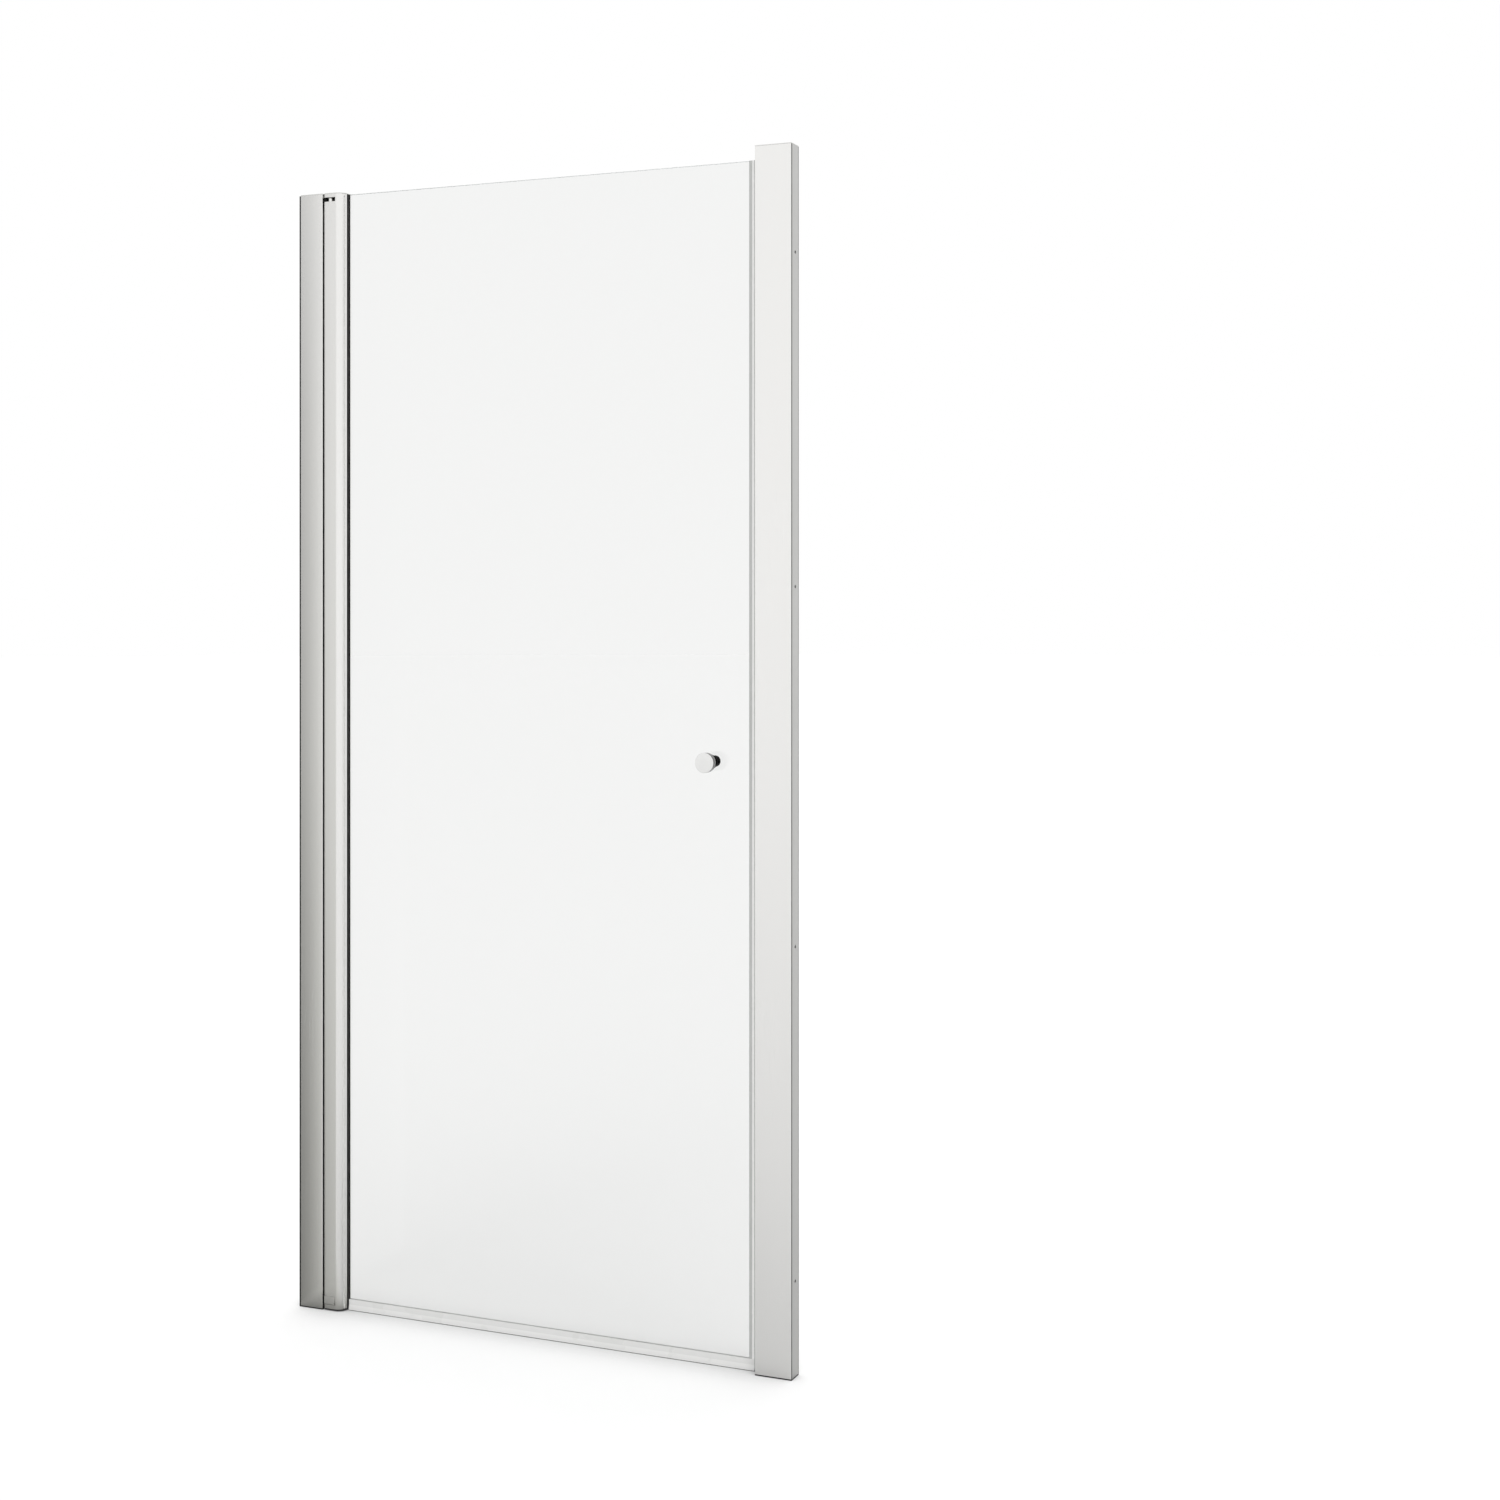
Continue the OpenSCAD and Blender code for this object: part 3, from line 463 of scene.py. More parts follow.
def endTree(tree, made, geometry, material):
    real = outOf(tree, "GeometryNodeRealizeInstances", {"Geometry": smoothByAngle(tree, geometry)})
    feed(tree, made, {
        "Geometry": outOf(tree, "GeometryNodeSetMaterial", {"Geometry": real, "Material": material})})


# A closed section drawn as curves is filled and run from Start to End; Cutters takes windows out of it
def makeSectionRun():
    tree, given, made = newGroup("sectionRun", "Geometry", {
        "Geometry": "Geometry", "Start": "Float", "End": "Float", "Lie across": "Bool", "Cutters": "Object",
        "Material": "Material"}, {"Geometry": "Geometry"})
    face = outOf(tree, "GeometryNodeFillCurve", {"Curve": given["Geometry"]})
    length = mathNode(tree, "SUBTRACT", given["End"], given["Start"])
    walls = outOf(tree, "GeometryNodeExtrudeMesh", {
        "Mesh": face, "Offset": alongZ(tree, length), "Offset Scale": 1.0, "Individual": False}, mode="FACES")
    under = outOf(tree, "GeometryNodeFlipFaces", {"Mesh": face})
    shut = outOf(tree, "GeometryNodeMergeByDistance",
                 {"Geometry": joined(tree, walls, under), "Distance": mergeDistance})
    raised = moved(tree, shut, "Translation", alongZ(tree, given["Start"]))
    lying = moved(tree, raised, "Rotation", (math.radians(90), 0, math.radians(90)))
    placed = outOf(tree, "GeometryNodeSwitch",
                   {"Switch": given["Lie across"], "False": raised, "True": lying}, input_type="GEOMETRY")
    cutters = outOf(tree, "GeometryNodeObjectInfo", {"Object": given["Cutters"]}, "Geometry")
    cut = outOf(tree, "GeometryNodeMeshBoolean",
                {"Mesh 1": placed, "Mesh 2": cutters, "Self Intersection": True},
                operation="DIFFERENCE", solver="EXACT")
    endTree(tree, made, cut, given["Material"])
    return tree


# One pan head screw is drawn and copied to every point of the incoming mesh, heads towards +Y
screwShape = {"domeSegments": 40, "domeRings": 20, "shankSides": 28, "socketSides": 6, "cutBlock": 20 * mm}


def makeScrewRow(s):
    tree, given, made = newGroup("screwRow", "Geometry", {
        "Geometry": "Geometry", "Head radius": "Float", "Head height": "Float", "Shank radius": "Float",
        "Shank length": "Float", "Socket radius": "Float", "Material": "Material"}, {"Geometry": "Geometry"})
    ball = outOf(tree, "GeometryNodeMeshUVSphere",
                 {"Segments": s["domeSegments"], "Rings": s["domeRings"], "Radius": 1.0})
    headSize = outOf(tree, "ShaderNodeCombineXYZ",
                     {"X": given["Head radius"], "Y": given["Head radius"], "Z": given["Head height"]})
    dome = moved(tree, ball, "Scale", headSize)
    block = outOf(tree, "GeometryNodeMeshCube", {"Size": [s["cutBlock"]] * 3})
    lowerHalf = moved(tree, block, "Translation", (0, 0, -s["cutBlock"] / 2))
    socket = outOf(tree, "GeometryNodeMeshCylinder", {
        "Vertices": s["socketSides"], "Radius": given["Socket radius"], "Depth": given["Head height"]})
    socketUp = moved(tree, socket, "Translation", alongZ(tree, given["Head height"]))
    head = outOf(tree, "GeometryNodeMeshBoolean",
                 {"Mesh 1": dome, "Mesh 2": joined(tree, lowerHalf, socketUp)},
                 operation="DIFFERENCE", solver="EXACT")
    shank = outOf(tree, "GeometryNodeMeshCylinder", {
        "Vertices": s["shankSides"], "Radius": given["Shank radius"], "Depth": given["Shank length"]})
    halfDown = mathNode(tree, "MULTIPLY", given["Shank length"], -0.5)
    shankDown = moved(tree, shank, "Translation", alongZ(tree, halfDown))
    screw = moved(tree, joined(tree, head, shankDown), "Rotation", (math.radians(-90), 0, 0))
    copies = outOf(tree, "GeometryNodeInstanceOnPoints", {"Points": given["Geometry"], "Instance": screw})
    real = outOf(tree, "GeometryNodeRealizeInstances", {"Geometry": copies})
    endTree(tree, made, real, given["Material"])
    return tree


sectionRun = makeSectionRun()
screwRow = makeScrewRow(screwShape)


# Runs a tree over an object, keeps the result as a plain mesh and clears the source away
def harvest(source, tree, values, name):
    modifier = source.modifiers.new("shape", "NODES")
    modifier.node_group = tree
    sockets = {item.name: item.identifier for item in tree.interface.items_tree
               if item.item_type == "SOCKET" and item.in_out == "INPUT"}
    for label, value in values.items():
        modifier[sockets[label]] = value
    source.update_tag()
    bpy.context.view_layer.update()
    evaluated = source.evaluated_get(bpy.context.evaluated_depsgraph_get())
    mesh = bpy.data.meshes.new_from_object(evaluated)
    mesh.name = name
    source.modifiers.remove(modifier)
    bpy.data.objects.remove(source)
    return addObject(name, mesh)


def standFor(piece, *nodes):
    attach(piece, bodyOf[nodes[0]])
    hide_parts(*nodes)
    return piece


def cutterBoxes(name, boxes):
    shape = bmesh.new()
    for sides in boxes:
        spans = list(zip(sides[::2], sides[1::2]))
        for vert in bmesh.ops.create_cube(shape, size=1.0)["verts"]:
            vert.co = [low + (high - low) * (share + 0.5) for (low, high), share in zip(spans, vert.co)]
    return addMesh(name, shape)


def runSection(name, node, loops, start, end, finish, across=False, windows=()):
    cutter = cutterBoxes(name + "Windows", windows)
    piece = harvest(sectionCurve(name + "Section", loops), sectionRun, {
        "Start": start, "End": end, "Lie across": across, "Cutters": cutter,
        "Material": finishes[finish]}, name)
    bpy.data.objects.remove(cutter)
    return standFor(piece, node)


# Extrusions; their windows for the arms end level with the hinge blocks
extrusionSizes = {
    "wall": 1.8 * mm, "edgeRadius": 0.8 * mm, "edgeSteps": 5, "play": 0.2 * mm, "overcut": 1.0 * mm}
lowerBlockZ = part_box("hinge_block_bottom")[0].z
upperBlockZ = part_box("hinge_block_top")[1].z
wallProfileSizes = {
    **extrusionSizes, "box": 19.6 * mm, "innerRadius": 0.4 * mm, "innerSteps": 3, "upperNeck": 15.4 * mm}


def makeWallProfile(s):
    low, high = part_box("wall_profile_left")
    x0, x1, y0, y1 = low.x, high.x, low.y, high.y
    w, r, steps, over = s["wall"], s["edgeRadius"], s["edgeSteps"], s["overcut"]
    boxX = x1 - s["box"]
    outer = (bend(x1, y0, r, -90, steps) + bend(x1, y1, r, 0, steps) + bend(x0, y1, r, 90, steps)
             + [(x0, y1 - w), (boxX, y1 - w), (boxX, y0 + w), (x0, y0 + w)] + bend(x0, y0, r, 180, steps))
    inner = softRect(boxX + w, x1 - w, y0 + w, y1 - w, s["innerRadius"], s["innerSteps"])
    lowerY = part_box("hinge_arm_bottom")[1].y + s["play"]
    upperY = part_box("hinge_arm_top")[0].y + s["upperNeck"]
    windows = [(x1 - w - over, x1 + over, y0 + w, lowerY, low.z - over, lowerBlockZ),
               (x1 - w - over, x1 + over, y0 + w, upperY, upperBlockZ, high.z + over)]
    return runSection("hingeSideWallProfile", "wall_profile_left", [outer, inner], low.z, high.z,
                      "satinAluminium", windows=windows)


# The strike profile has fins that cover its channel, and a pocket with a lip and a hook for the seal
strikeProfileSizes = {
    **extrusionSizes, "fin": 27.0 * mm, "reveal": 0.6 * mm, "pocket": 5.2 * mm, "seat": 14.0 * mm,
    "lip": 1.2 * mm, "hook": 3.4 * mm}


def makeStrikeProfile(s):
    low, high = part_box("strike_profile")
    x0, x1, y0, y1 = low.x, high.x, low.y, high.y
    w, r, lip, steps = s["wall"], s["edgeRadius"], s["lip"], s["edgeSteps"]
    finX = x1 + s["reveal"] - s["fin"]
    mouthX, lipX, pocketX = x0 + w, x0 + w + lip, x0 + s["pocket"]
    seatY, backY = y0 + s["seat"], y1 - w
    hookY = backY - s["hook"]
    outer = (bend(x1, y0, r, -90, steps) + [(x1, y0 + w), (finX, y0 + w), (finX, backY), (x1, backY)]
             + bend(x1, y1, r, 0, steps)
             + [(mouthX, y1), (mouthX, hookY), (lipX, hookY), (lipX, backY), (pocketX, backY),
                (pocketX, seatY), (lipX, seatY), (lipX, seatY + lip), (mouthX, seatY + lip), (mouthX, seatY),
                (x0, seatY)]
             + bend(x0, y0, r, 180, steps))
    inner = [(mouthX, y0 + w), (finX - w, y0 + w), (finX - w, backY), (pocketX + w, backY),
             (pocketX + w, seatY - w), (mouthX, seatY - w)]
    return runSection("strikeProfile", "strike_profile", [outer, inner], low.z, high.z, "satinAluminium")


# The hinge profile's nose ends at a narrow lip beside the glazing strip
hingeProfileSizes = {
    **extrusionSizes, "cornerRadius": 4.0 * mm, "noseRadius": 14.0 * mm, "chamber": 21.6 * mm,
    "pocketDepth": 12.0 * mm, "lipWidth": 2.0 * mm, "lipRise": 2.0 * mm, "lipEdge": 0.8 * mm,
    "slotReach": 16.6 * mm, "cornerSteps": 16, "chamberSteps": 8, "noseSteps": 48, "hollowSteps": 32}


def makeHingeProfile(s):
    low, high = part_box("hinge_profile")
    x0, x1, y0, y1 = low.x, high.x, low.y, high.y
    w, corner, over = s["wall"], s["cornerRadius"], s["overcut"]
    nose = s["noseRadius"] - s["lipRise"]
    noseX, noseY = x1 - s["lipWidth"] - nose, y0 + nose
    chamberX1 = x0 + w + s["chamber"]
    webX1 = chamberX1 + w
    pocketY0 = y0 + s["noseRadius"]
    pocketY1 = pocketY0 + s["pocketDepth"]
    outer = (bend(x0, y0, corner, 180, s["cornerSteps"]) + arc(noseX, noseY, nose, -90, 0, s["noseSteps"])
             + [(x1, pocketY0 - s["lipEdge"]), (x1, pocketY0), (webX1, pocketY0), (webX1, pocketY1),
                (x1, pocketY1), (x1, y1)]
             + bend(x0, y1, s["edgeRadius"], 90, s["edgeSteps"]))
    chamber = (bend(x0 + w, y0 + w, corner - w, 180, s["chamberSteps"])
               + [(chamberX1, y0 + w), (chamberX1, y1 - w), (x0 + w, y1 - w)])
    hollow = nose - w
    startDeg = -math.degrees(math.acos((webX1 - noseX) / hollow))
    nosed = (arc(noseX, noseY, hollow, startDeg, 0, s["hollowSteps"])
             + [(noseX + hollow, pocketY0 - w), (webX1, pocketY0 - w)])
    front = (x0 - over, chamberX1, y0 - over, y0 + w)
    side = (x0 - over, x0 + w + corner, y0 - over, y0 + s["slotReach"])
    heights = ((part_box("hinge_cap_bottom")[1].z + s["play"], lowerBlockZ),
               (upperBlockZ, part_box("hinge_cap_top")[0].z - s["play"]))
    windows = [(*area, z0, z1) for area in (front, side) for z0, z1 in heights]
    return runSection("hingeProfile", "hinge_profile", [outer, chamber, nosed], low.z, high.z,
                      "satinAluminium", windows=windows)


makeWallProfile(wallProfileSizes)
makeStrikeProfile(strikeProfileSizes)
makeHingeProfile(hingeProfileSizes)
print("stage: extrusions run")


# The bottom seal has a hair of play to the glass, so that light gets in
bottomSealSizes = {
    "wall": 1.2 * mm, "play": 0.06 * mm, "legRound": 0.5 * mm, "lipRound": 0.2 * mm, "legSteps": 5,
    "lipSteps": 3}


def makeBottomSeal(s):
    low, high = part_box("bottom_seal")
    w, play, leg, tip = s["wall"], s["play"], s["legRound"], s["lipRound"]
    y0, y1 = glassLow.y, glassHigh.y
    slope = w * w / (webTop - low.z)  # how far a lip's inner side has moved in at the web's underside
    section = (bend(low.y, low.z, tip, 180, s["lipSteps"])
               + [(y0 - w, low.z), (y0 - slope, webTop - w), (y1 + slope, webTop - w), (y1 + w, low.z)]
               + bend(high.y, low.z, tip, -90, s["lipSteps"]) + [(y1 + w, webTop)]
               + bend(y1 + w, high.z, leg, 0, s["legSteps"])
               + [(y1 + play, high.z), (y1 + play, webTop), (y0 - play, webTop), (y0 - play, high.z)]
               + bend(y0 - w, high.z, leg, 90, s["legSteps"]) + [(y0 - w, webTop)])
    return runSection("bottomSeal", "bottom_seal", [section], low.x, high.x, "dripSeal", across=True)


# The rear gasket's bead is set back in its pocket
rearGasketSizes = {"setBack": 3.4 * mm, "round": 1.4 * mm, "roundSteps": 6}


def makeRearGasket(s):
    low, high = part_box("glass_gasket_rear")
    x1 = high.x - s["setBack"]
    section = ([(low.x, high.y), (low.x, low.y)] + bend(x1, low.y, s["round"], -90, s["roundSteps"])
               + bend(x1, high.y, s["round"], 0, s["roundSteps"]))
    return runSection("rearGasket", "glass_gasket_rear", [section], low.z, high.z, "blackRubber")


makeBottomSeal(bottomSealSizes)
makeRearGasket(rearGasketSizes)
print("stage: seal and gasket run")


# Screws, set from behind: a row for each wall profile, one for the arms and one for the blocks
screwSizes = {
    "headRadius": 3.8 * mm, "headHeight": 2.2 * mm, "shankRadius": 2.0 * mm, "socketRadius": 1.5 * mm}


# The middle of each screw in a node, lowest first, with the y of its tip and its head
def screwSeats(node):
    shape = mergedCopy(node)
    seats = []
    waiting = set(shape.verts)
    while waiting:
        stack = [waiting.pop()]
        island = []
        while stack:
            vert = stack.pop()
            island.append(vert.co.copy())
            for edge in vert.link_edges:
                other = edge.other_vert(vert)
                if other in waiting:
                    waiting.remove(other)
                    stack.append(other)
        xs, ys, zs = ([p[i] for p in island] for i in range(3))
        seats.append(((min(xs) + max(xs)) / 2, min(ys), max(ys), (min(zs) + max(zs)) / 2))
    shape.free()
    return sorted(seats, key=lambda seat: seat[3])


def makeScrews(name, node, s):
    seats = screwSeats(node)
    _, tipY, headY, _ = seats[0]
    seatY = headY - s["headHeight"]
    points = bpy.data.meshes.new(name + "Seats")
    points.from_pydata([(x, seatY, z) for x, _, _, z in seats], [], [])
    piece = harvest(addObject(name + "Seats", points), screwRow, {
        "Head radius": s["headRadius"], "Head height": s["headHeight"], "Shank radius": s["shankRadius"],
        "Shank length": seatY - tipY, "Socket radius": s["socketRadius"],
        "Material": finishes["turnedSteel"]}, name)
    return standFor(piece, node)


screwRows = {
    "widthScrewsLeft": "adjust_screws_left", "widthScrewsRight": "adjust_screws_right",
    "armScrews": "arm_screws", "blockScrews": "block_screws"}
for screwName, screwNode in screwRows.items():
    makeScrews(screwName, screwNode, screwSizes)
print("stage: screws set")


# Small parts: a merged copy of the solid with its sharp edges broken; up to a given x it takes the black
# finish, a painted shade where the part lies in the shaded gap between two profiles
edgeSizes = {"sharpDeg": 35, "curvedDeg": 1, "segments": 2, "profile": 0.5, "cutDistance": 1e-7}


def markSharp(shape, sharpDeg):
    for edge in shape.edges:
        if edge.calc_face_angle(0) > math.radians(sharpDeg):
            edge.smooth = False


def brokenEdges(name, node, finish, width, gapShadeUpTo=None):
    s = edgeSizes
    shape = mergedCopy(node)
    curved, limit = math.radians(s["curvedDeg"]), math.radians(s["sharpDeg"])
    sharp = [edge for edge in shape.edges if edge.calc_face_angle(0) > limit]
    # Round sides and the broken edges are shaded smooth, level faces stay level
    for face in shape.faces:
        face.smooth = any(curved < edge.calc_face_angle(0) <= limit for edge in face.edges)
    broken = bmesh.ops.bevel(shape, geom=sharp, offset=width, segments=s["segments"], profile=s["profile"],
                             affect="EDGES", clamp_overlap=True)
    for face in broken["faces"]:
        face.smooth = True
    markSharp(shape, s["sharpDeg"])
    materials = [finishes[finish]]
    if gapShadeUpTo is not None:
        materials.append(finishes["blackCoat"])
        bmesh.ops.bisect_plane(shape, geom=shape.verts[:] + shape.edges[:] + shape.faces[:],
                               dist=s["cutDistance"], plane_co=(gapShadeUpTo, 0, 0), plane_no=(1, 0, 0))
        for face in shape.faces:
            face.material_index = int(face.calc_center_median().x < gapShadeUpTo)
    return standFor(addMesh(name, shape, materials), node)


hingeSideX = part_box("hinge_profile")[0].x
smallParts = {
    "hingeSideCap": ("top_cap_left", "capPlastic", 0.35 * mm),
    "strikeCap": ("top_cap_right", "capPlastic", 0.35 * mm),
    "leafCapTop": ("hinge_cap_top", "capPlastic", 0.3 * mm),
    # the bottom cap's dark nylon also stands in as painted shade for the shadow gap under the leaf
    "leafCapBottom": ("hinge_cap_bottom", "blockNylon", 0.3 * mm),
    "upperArm": ("hinge_arm_top", "blackCoat", 0.3 * mm),
    # the lower arm is black where it lies in the shaded gap beside the hinge profile: painted shade
    "lowerArm": ("hinge_arm_bottom", "satinAluminium", 0.15 * mm, hingeSideX + 1.5 * mm),
    "upperPin": ("hinge_pin_top", "turnedSteel", 0.3 * mm),
    "lowerPin": ("hinge_pin_bottom", "turnedSteel", 0.3 * mm),
    "upperBlock": ("hinge_block_top", "blockNylon", 0.3 * mm),
    "lowerBlock": ("hinge_block_bottom", "blockNylon", 0.3 * mm),
    # the feet are real pads whose black also stands in as painted shade for the shadow line under the wall
    # profiles
    "footLeft": ("foot_pad_left", "blackRubber", 0.25 * mm),
    "footRight": ("foot_pad_right", "blackRubber", 0.25 * mm),
}
for partName, partValues in smallParts.items():
    brokenEdges(partName, *partValues)
print("stage: small parts finished")


# Knobs: a profile of (radius, distance from the glass side) turned about the stud's axis
turningSizes = {"steps": 96, "sharpDeg": 40, "cleanDistance": 1e-7}


def turnedPiece(name, node, profile, seatY, direction, finishNames, finishOf):
    s = turningSizes
    low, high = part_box(node)
    cx, cz = (low.x + high.x) / 2, (low.z + high.z) / 2
    shape = bmesh.new()
    verts = [shape.verts.new((cx + r, seatY + direction * d, cz)) for r, d in profile]
    edges = [shape.edges.new(pair) for pair in zip(verts, verts[1:])]
    bmesh.ops.spin(shape, geom=verts + edges, cent=(cx, seatY, cz), axis=(0, 1, 0),
                   angle=math.radians(360), steps=s["steps"], use_duplicate=False)
    bmesh.ops.remove_doubles(shape, verts=shape.verts, dist=mergeDistance)
    bmesh.ops.dissolve_degenerate(shape, edges=shape.edges, dist=s["cleanDistance"])
    bmesh.ops.recalc_face_normals(shape, faces=shape.faces)
    markSharp(shape, s["sharpDeg"])
    for face in shape.faces:
        face.smooth = True
        depth = direction * (face.calc_center_median().y - seatY)
        face.material_index = finishOf(depth, direction * face.normal.y)
    return standFor(addMesh(name, shape, [finishes[finish] for finish in finishNames]), node)


# The outer knob has a chrome face, a rim of darkened chrome that is a painted dark reflection, and a black
# neck
outerKnobSizes = {
    "disc": 15.8 * mm, "discDepth": 10.0 * mm, "length": 26.0 * mm, "foot": 11.8 * mm, "footDepth": 3.0 * mm,
    "neckShare": 0.3, "footRound": 0.4 * mm, "rimRound": 0.8 * mm, "bore": 3.05 * mm, "boreDepth": 11.0 * mm,
    "blackPast": 0.1 * mm, "faceFrom": 0.5, "neckSteps": 28, "footSteps": 5, "backSteps": 6, "rimSteps": 10}


def makeOuterKnob(s):
    foot, disc, length = s["foot"], s["disc"], s["length"]
    discStart = length - s["discDepth"]
    waist = (discStart - s["footDepth"]) / 2
    swing = math.degrees(math.acos(s["neckShare"]))
    profile = ([(0, s["boreDepth"]), (s["bore"], s["boreDepth"]), (s["bore"], 0)]
               + bend(foot, 0, s["footRound"], -90, s["footSteps"])
               + arc(foot + waist * s["neckShare"], s["footDepth"] + waist, waist, 180 + swing, 180 - swing,
                     s["neckSteps"])
               + [(foot, discStart)] + bend(disc, discStart, s["footRound"], -90, s["backSteps"])
               + bend(disc, length, s["rimRound"], 0, s["rimSteps"]) + [(0, length)])

    def finishOf(depth, facing):
        if depth < discStart + s["blackPast"]:
            return 2
        # faces turned away from the front get the darkened chrome, a painted dark reflection
        return 0 if facing > s["faceFrom"] else 1

    turnedPiece("outerKnob", "knob_front", profile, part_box("knob_front")[1].y, -1,
                ("brightChrome", "smokedRim", "knobBlack"), finishOf)


# The inner knob is short and black all over
innerKnobSizes = {
    "radius": 9.0 * mm, "length": 13.0 * mm, "footRound": 0.3 * mm, "rimRound": 0.8 * mm, "bore": 3.05 * mm,
    "boreDepth": 8.0 * mm, "footSteps": 5, "rimSteps": 10}


def makeInnerKnob(s):
    profile = ([(0, s["boreDepth"]), (s["bore"], s["boreDepth"]), (s["bore"], 0)]
               + bend(s["radius"], 0, s["footRound"], -90, s["footSteps"])
               + bend(s["radius"], s["length"], s["rimRound"], 0, s["rimSteps"]) + [(0, s["length"])])
    turnedPiece("innerKnob", "knob_rear", profile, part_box("knob_rear")[0].y, 1, ("knobBlack",),
                lambda depth, facing: 0)


makeOuterKnob(outerKnobSizes)
makeInnerKnob(innerKnobSizes)
print("stage: knobs turned")


# Glass: a merged copy whose large faces are clear and whose worked edges are ground
glassSizes = {"clearFacing": 0.99}


def makeGlass(s):
    shape = mergedCopy("glass_panel")
    for face in shape.faces:
        face.material_index = int(abs(face.normal.y) <= s["clearFacing"])
    leaf = addMesh("glassLeaf", shape, [finishes["clearGlass"], finishes["groundEdge"]])
    return standFor(leaf, "glass_panel")


makeGlass(glassSizes)
print("stage: glass made")


# Nodes whose own mesh stays: only the finish is new
keptNodes = {
    "millAluminium": ("wall_channel_left", "wall_channel_right"),
    # the wall seals are real strips whose black also stands in as painted shade for the shadow gap against
    # the wall
    "blackRubber": (
        "hinge_gap_seal", "wall_seal_left", "wall_seal_right", "glass_gasket_front", "knob_washers"),
    "edgeSeal": ("door_seal",),
    "milkySeal": ("strike_seal",),
    "magnetStrip": ("strike_magnet", "door_magnet"),
    "blockNylon": ("setting_blocks",),
    "bearingPlastic": ("bush_top", "bush_bottom", "thrust_washer", "knob_sleeve"),
    "turnedSteel": ("knob_stud",)}
for keptFinish, keptNames in keptNodes.items():
    for keptName in keptNames:
        for slot in frame["nodes"][keptName].material_slots:
            slot.material = finishes[keptFinish]
print("stage: kept nodes dressed")


# The grey side card stands beside the hinge side and shows only in metal; it glows with a painted reflection
# of a shaded wall corner, darkest at its near edge and low down.
# From its near edge out to "spread" its tones go from the corner ones to the spread ones, and on to white;
# each is (share of the height, tone)
sideCardSizes = {
    "x": -0.470, "y0": -0.018, "y1": -0.34, "top": 2.1, "spread": 0.11, "lowTint": (1.0, 1.0, 0.95),
    "cornerShadeTones": ((0.0, 0.19), (0.18, 0.25), (0.45, 0.39), (0.72, 0.50), (0.93, 0.66)),
    "spreadShadeTones": ((0.0, 0.44), (0.18, 0.55), (0.45, 0.72), (0.72, 0.81), (0.93, 0.86)),
    "footX": (-0.30, -0.36), "footGainX": (-0.43, -0.395), "footGain": (1.15, 1.6)}


def toneRamp(tree, height, stops, s):
    ramp = addNode(tree, "ShaderNodeValToRGB", {0: mathNode(tree, "DIVIDE", height, s["top"])})
    elements = ramp.color_ramp.elements
    while len(elements) < len(stops):
        elements.new(0.5)
    for element, (share, tone) in zip(elements, stops):
        element.position = share
        element.color = opaque([tone * (1 - (1 - part) * (1 - share)) for part in s["lowTint"]])
    return ramp.outputs["Color"]


# The painted corner shade that metal on the hinge side sees at a place on the card, or on the floor at its
# foot
def cornerShadeReflection(tree, place, s):
    corner = toneRamp(tree, place["Z"], s["cornerShadeTones"], s)
    spread = toneRamp(tree, place["Z"], s["spreadShadeTones"], s)
    spreadY = s["y0"] - s["spread"]
    near = mapRange(tree, place["Y"], s["y0"], spreadY)
    far = mapRange(tree, place["Y"], spreadY, s["y1"])
    return mixColour(tree, near, corner, spread), far


def objectPlace(tree):
    place = outOf(tree, "ShaderNodeTexCoord", {}, "Object")
    return addNode(tree, "ShaderNodeSeparateXYZ", {0: place}).outputs


def rayKinds(tree):
    return tree.nodes.new("ShaderNodeLightPath").outputs


def makeSideCard(s):
    x, y0, y1, top = s["x"], s["y0"], s["y1"], s["top"]
    data = bpy.data.meshes.new("sideCard")
    data.from_pydata([(x, y0, 0), (x, y1, 0), (x, y1, top), (x, y0, top)], [], [(0, 1, 2, 3)])
    card = addObject("sideCard", data)
    material, tree = newMaterial("sideCardPaintedShade")
    # the card's glow is a painted reflection of a wall corner's shade
    grey, far = cornerShadeReflection(tree, objectPlace(tree), s)
    glow = outOf(tree, "ShaderNodeEmission", {"Color": mixColour(tree, far, grey, (1.0, 1.0, 1.0))})
    clear = outOf(tree, "ShaderNodeBsdfTransparent", {})
    mix = outOf(tree, "ShaderNodeMixShader", {0: rayKinds(tree)["Is Transmission Ray"], 1: glow, 2: clear})
    addNode(tree, "ShaderNodeOutputMaterial", {"Surface": mix})
    data.materials.append(material)
    for kind in ("camera", "diffuse", "transmission", "volume_scatter", "shadow"):
        setattr(card, "visible_" + kind, False)


# Pale floor: white to the eye and through glass; in metal it shows a painted shade, a little darker near the
# foot of the door
floorSizes = {
    "radius": 40.0, "segments": 96, "drop": 0.2 * mm, "white": 0.60, "bounce": 0.75, "paintedNearShade": 0.30,
    "nearReach": 3.0, "shadeReach": 0.12, "shadeSamples": 8,
    "lifts": {"Is Camera Ray": 0.490, "Is Transmission Ray": 0.420, "Is Glossy Ray": 0.055}}


def floorGrey(tree, ray, seen, s):
    place = outOf(tree, "ShaderNodeTexCoord", {}, "Object")
    reach = outOf(tree, "ShaderNodeVectorMath", {0: place}, "Value", operation="LENGTH")
    fall = mathNode(tree, "ADD", mathNode(tree, "DIVIDE", reach, s["nearReach"]), 1.0)
    # in metal the floor gets a painted shade that deepens towards the door
    paintedMetalShade = inverse(tree, mathNode(tree, "DIVIDE", s["paintedNearShade"], fall))
    other = mapRange(tree, ray["Is Glossy Ray"], 0.0, 1.0, s["bounce"], paintedMetalShade)
    return greyOf(tree, mapRange(tree, seen, 0.0, 1.0, other, s["white"]))


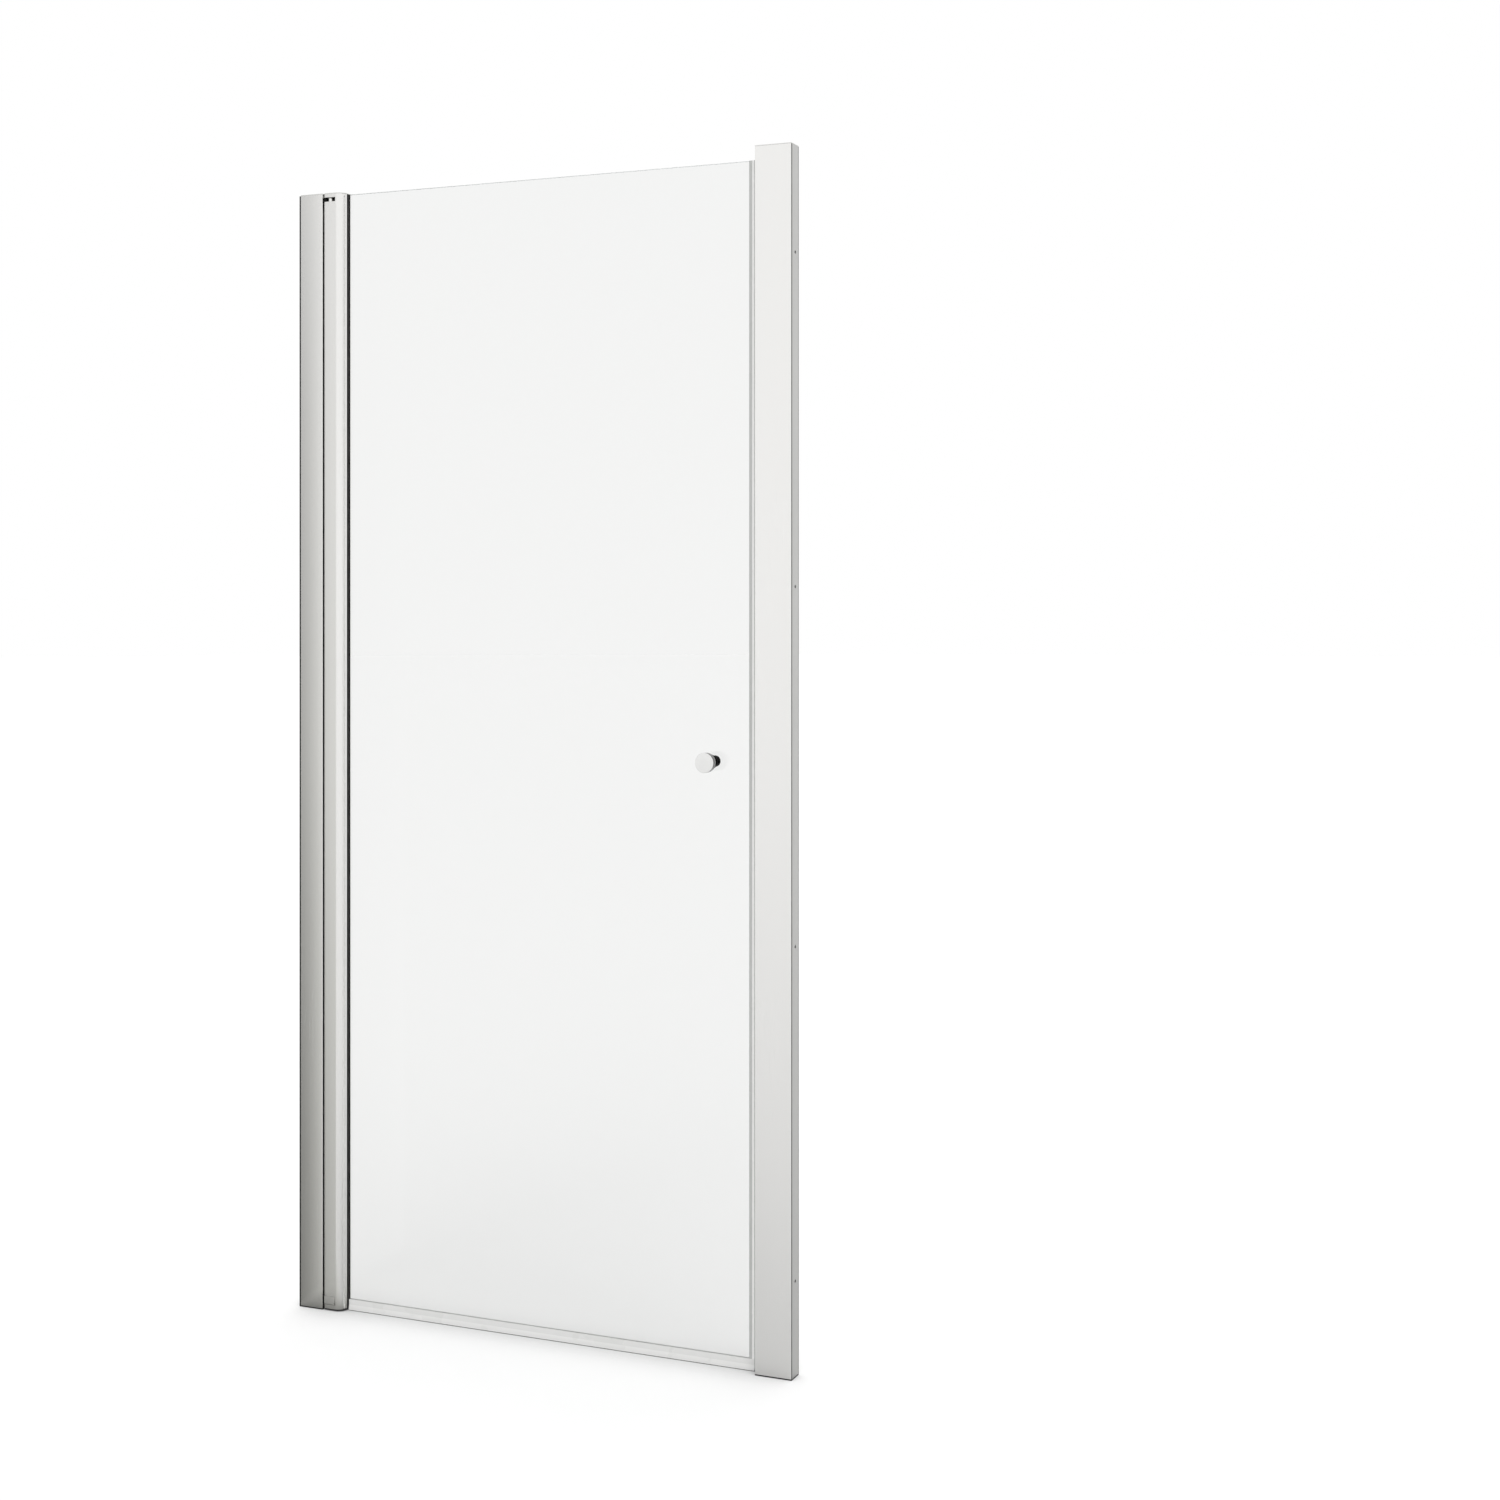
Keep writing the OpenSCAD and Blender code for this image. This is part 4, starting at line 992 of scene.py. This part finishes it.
# At the card's foot, metal sees the floor in the card's painted corner shade
def floorColour(tree, ray, seen, s, side):
    spot = objectPlace(tree)
    cornerShadeGrey, far = cornerShadeReflection(tree, spot, side)
    gain = mapRange(tree, spot["X"], *side["footGainX"], *side["footGain"])
    foot = outOf(tree, "ShaderNodeVectorMath", {0: cornerShadeGrey, "Scale": gain}, operation="SCALE")
    inside = product(tree, mapRange(tree, spot["X"], *side["footX"]),
                     mathNode(tree, "LESS_THAN", spot["Y"], 0.0), inverse(tree, far), ray["Is Glossy Ray"],
                     inverse(tree, seen))
    return mixColour(tree, inside, floorGrey(tree, ray, seen, s), foot)


# The shade where the door stands close
def contactShade(tree, s):
    near = outOf(tree, "ShaderNodeAmbientOcclusion", {"Distance": s["shadeReach"]}, "AO",
                 samples=s["shadeSamples"])
    hidden = inverse(tree, near)
    return inverse(tree, product(tree, hidden, hidden))


def makeFloor(s, side):
    shape = bmesh.new()
    bmesh.ops.create_circle(shape, cap_ends=True, segments=s["segments"], radius=s["radius"])
    bmesh.ops.translate(shape, verts=shape.verts, vec=(0, 0, -s["drop"]))
    material, tree = newMaterial("paleFloor")
    ray = rayKinds(tree)
    seen = mathNode(tree, "MAXIMUM", ray["Is Camera Ray"], ray["Is Transmission Ray"])
    shade = contactShade(tree, s)
    colour = floorColour(tree, ray, seen, s, side)
    shaded = outOf(tree, "ShaderNodeVectorMath", {0: colour, "Scale": shade}, operation="SCALE")
    matt = outOf(tree, "ShaderNodeBsdfDiffuse", {"Color": shaded})
    lift = 0.0
    for kind, strength in s["lifts"].items():
        lift = mathNode(tree, "MAXIMUM", product(tree, ray[kind], strength), lift)
    glow = outOf(tree, "ShaderNodeEmission", {"Strength": product(tree, lift, shade)})
    both = outOf(tree, "ShaderNodeAddShader", {0: matt, 1: glow})
    addNode(tree, "ShaderNodeOutputMaterial", {"Surface": both})
    addMesh("studioFloor", shape, [material])


# White surroundings for the eye, metal and glass; what lights the matt surfaces is weaker
surroundingSizes = {"fill": 0.60}


def makeSurroundings(s):
    world = bpy.data.worlds.new("whiteSurroundings")
    world.use_nodes = True
    bpy.context.scene.world = world
    tree = world.node_tree
    tree.nodes.clear()
    ray = rayKinds(tree)
    seen = mathNode(tree, "MAXIMUM", ray["Is Camera Ray"],
                    mathNode(tree, "MAXIMUM", ray["Is Glossy Ray"], ray["Is Transmission Ray"]))
    sky = outOf(tree, "ShaderNodeBackground", {
        "Color": (1, 1, 1, 1), "Strength": mapRange(tree, seen, 0.0, 1.0, s["fill"], 1.0)})
    addNode(tree, "ShaderNodeOutputWorld", {"Surface": sky})


# Soft lamps; metal and glass show the surroundings, not a lamp
lampSizes = {
    "backLamp": {"strength": 0.7, "softDeg": 70, "tiltDeg": 38, "turnDeg": -160},
    "frontLamp": {"strength": 1.2, "softDeg": 70, "tiltDeg": 60, "turnDeg": 30}}


def makeLamp(name, s):
    data = bpy.data.lights.new(name, "SUN")
    data.energy = s["strength"]
    data.angle = math.radians(s["softDeg"])
    lamp = addObject(name, data)
    lamp.rotation_euler = (math.radians(s["tiltDeg"]), 0, math.radians(s["turnDeg"]))
    lamp.visible_glossy = False
    lamp.visible_transmission = False


makeFloor(floorSizes, sideCardSizes)
makeSideCard(sideCardSizes)
makeSurroundings(surroundingSizes)
for lampName, lampValues in lampSizes.items():
    makeLamp(lampName, lampValues)
print("stage: stage lit")
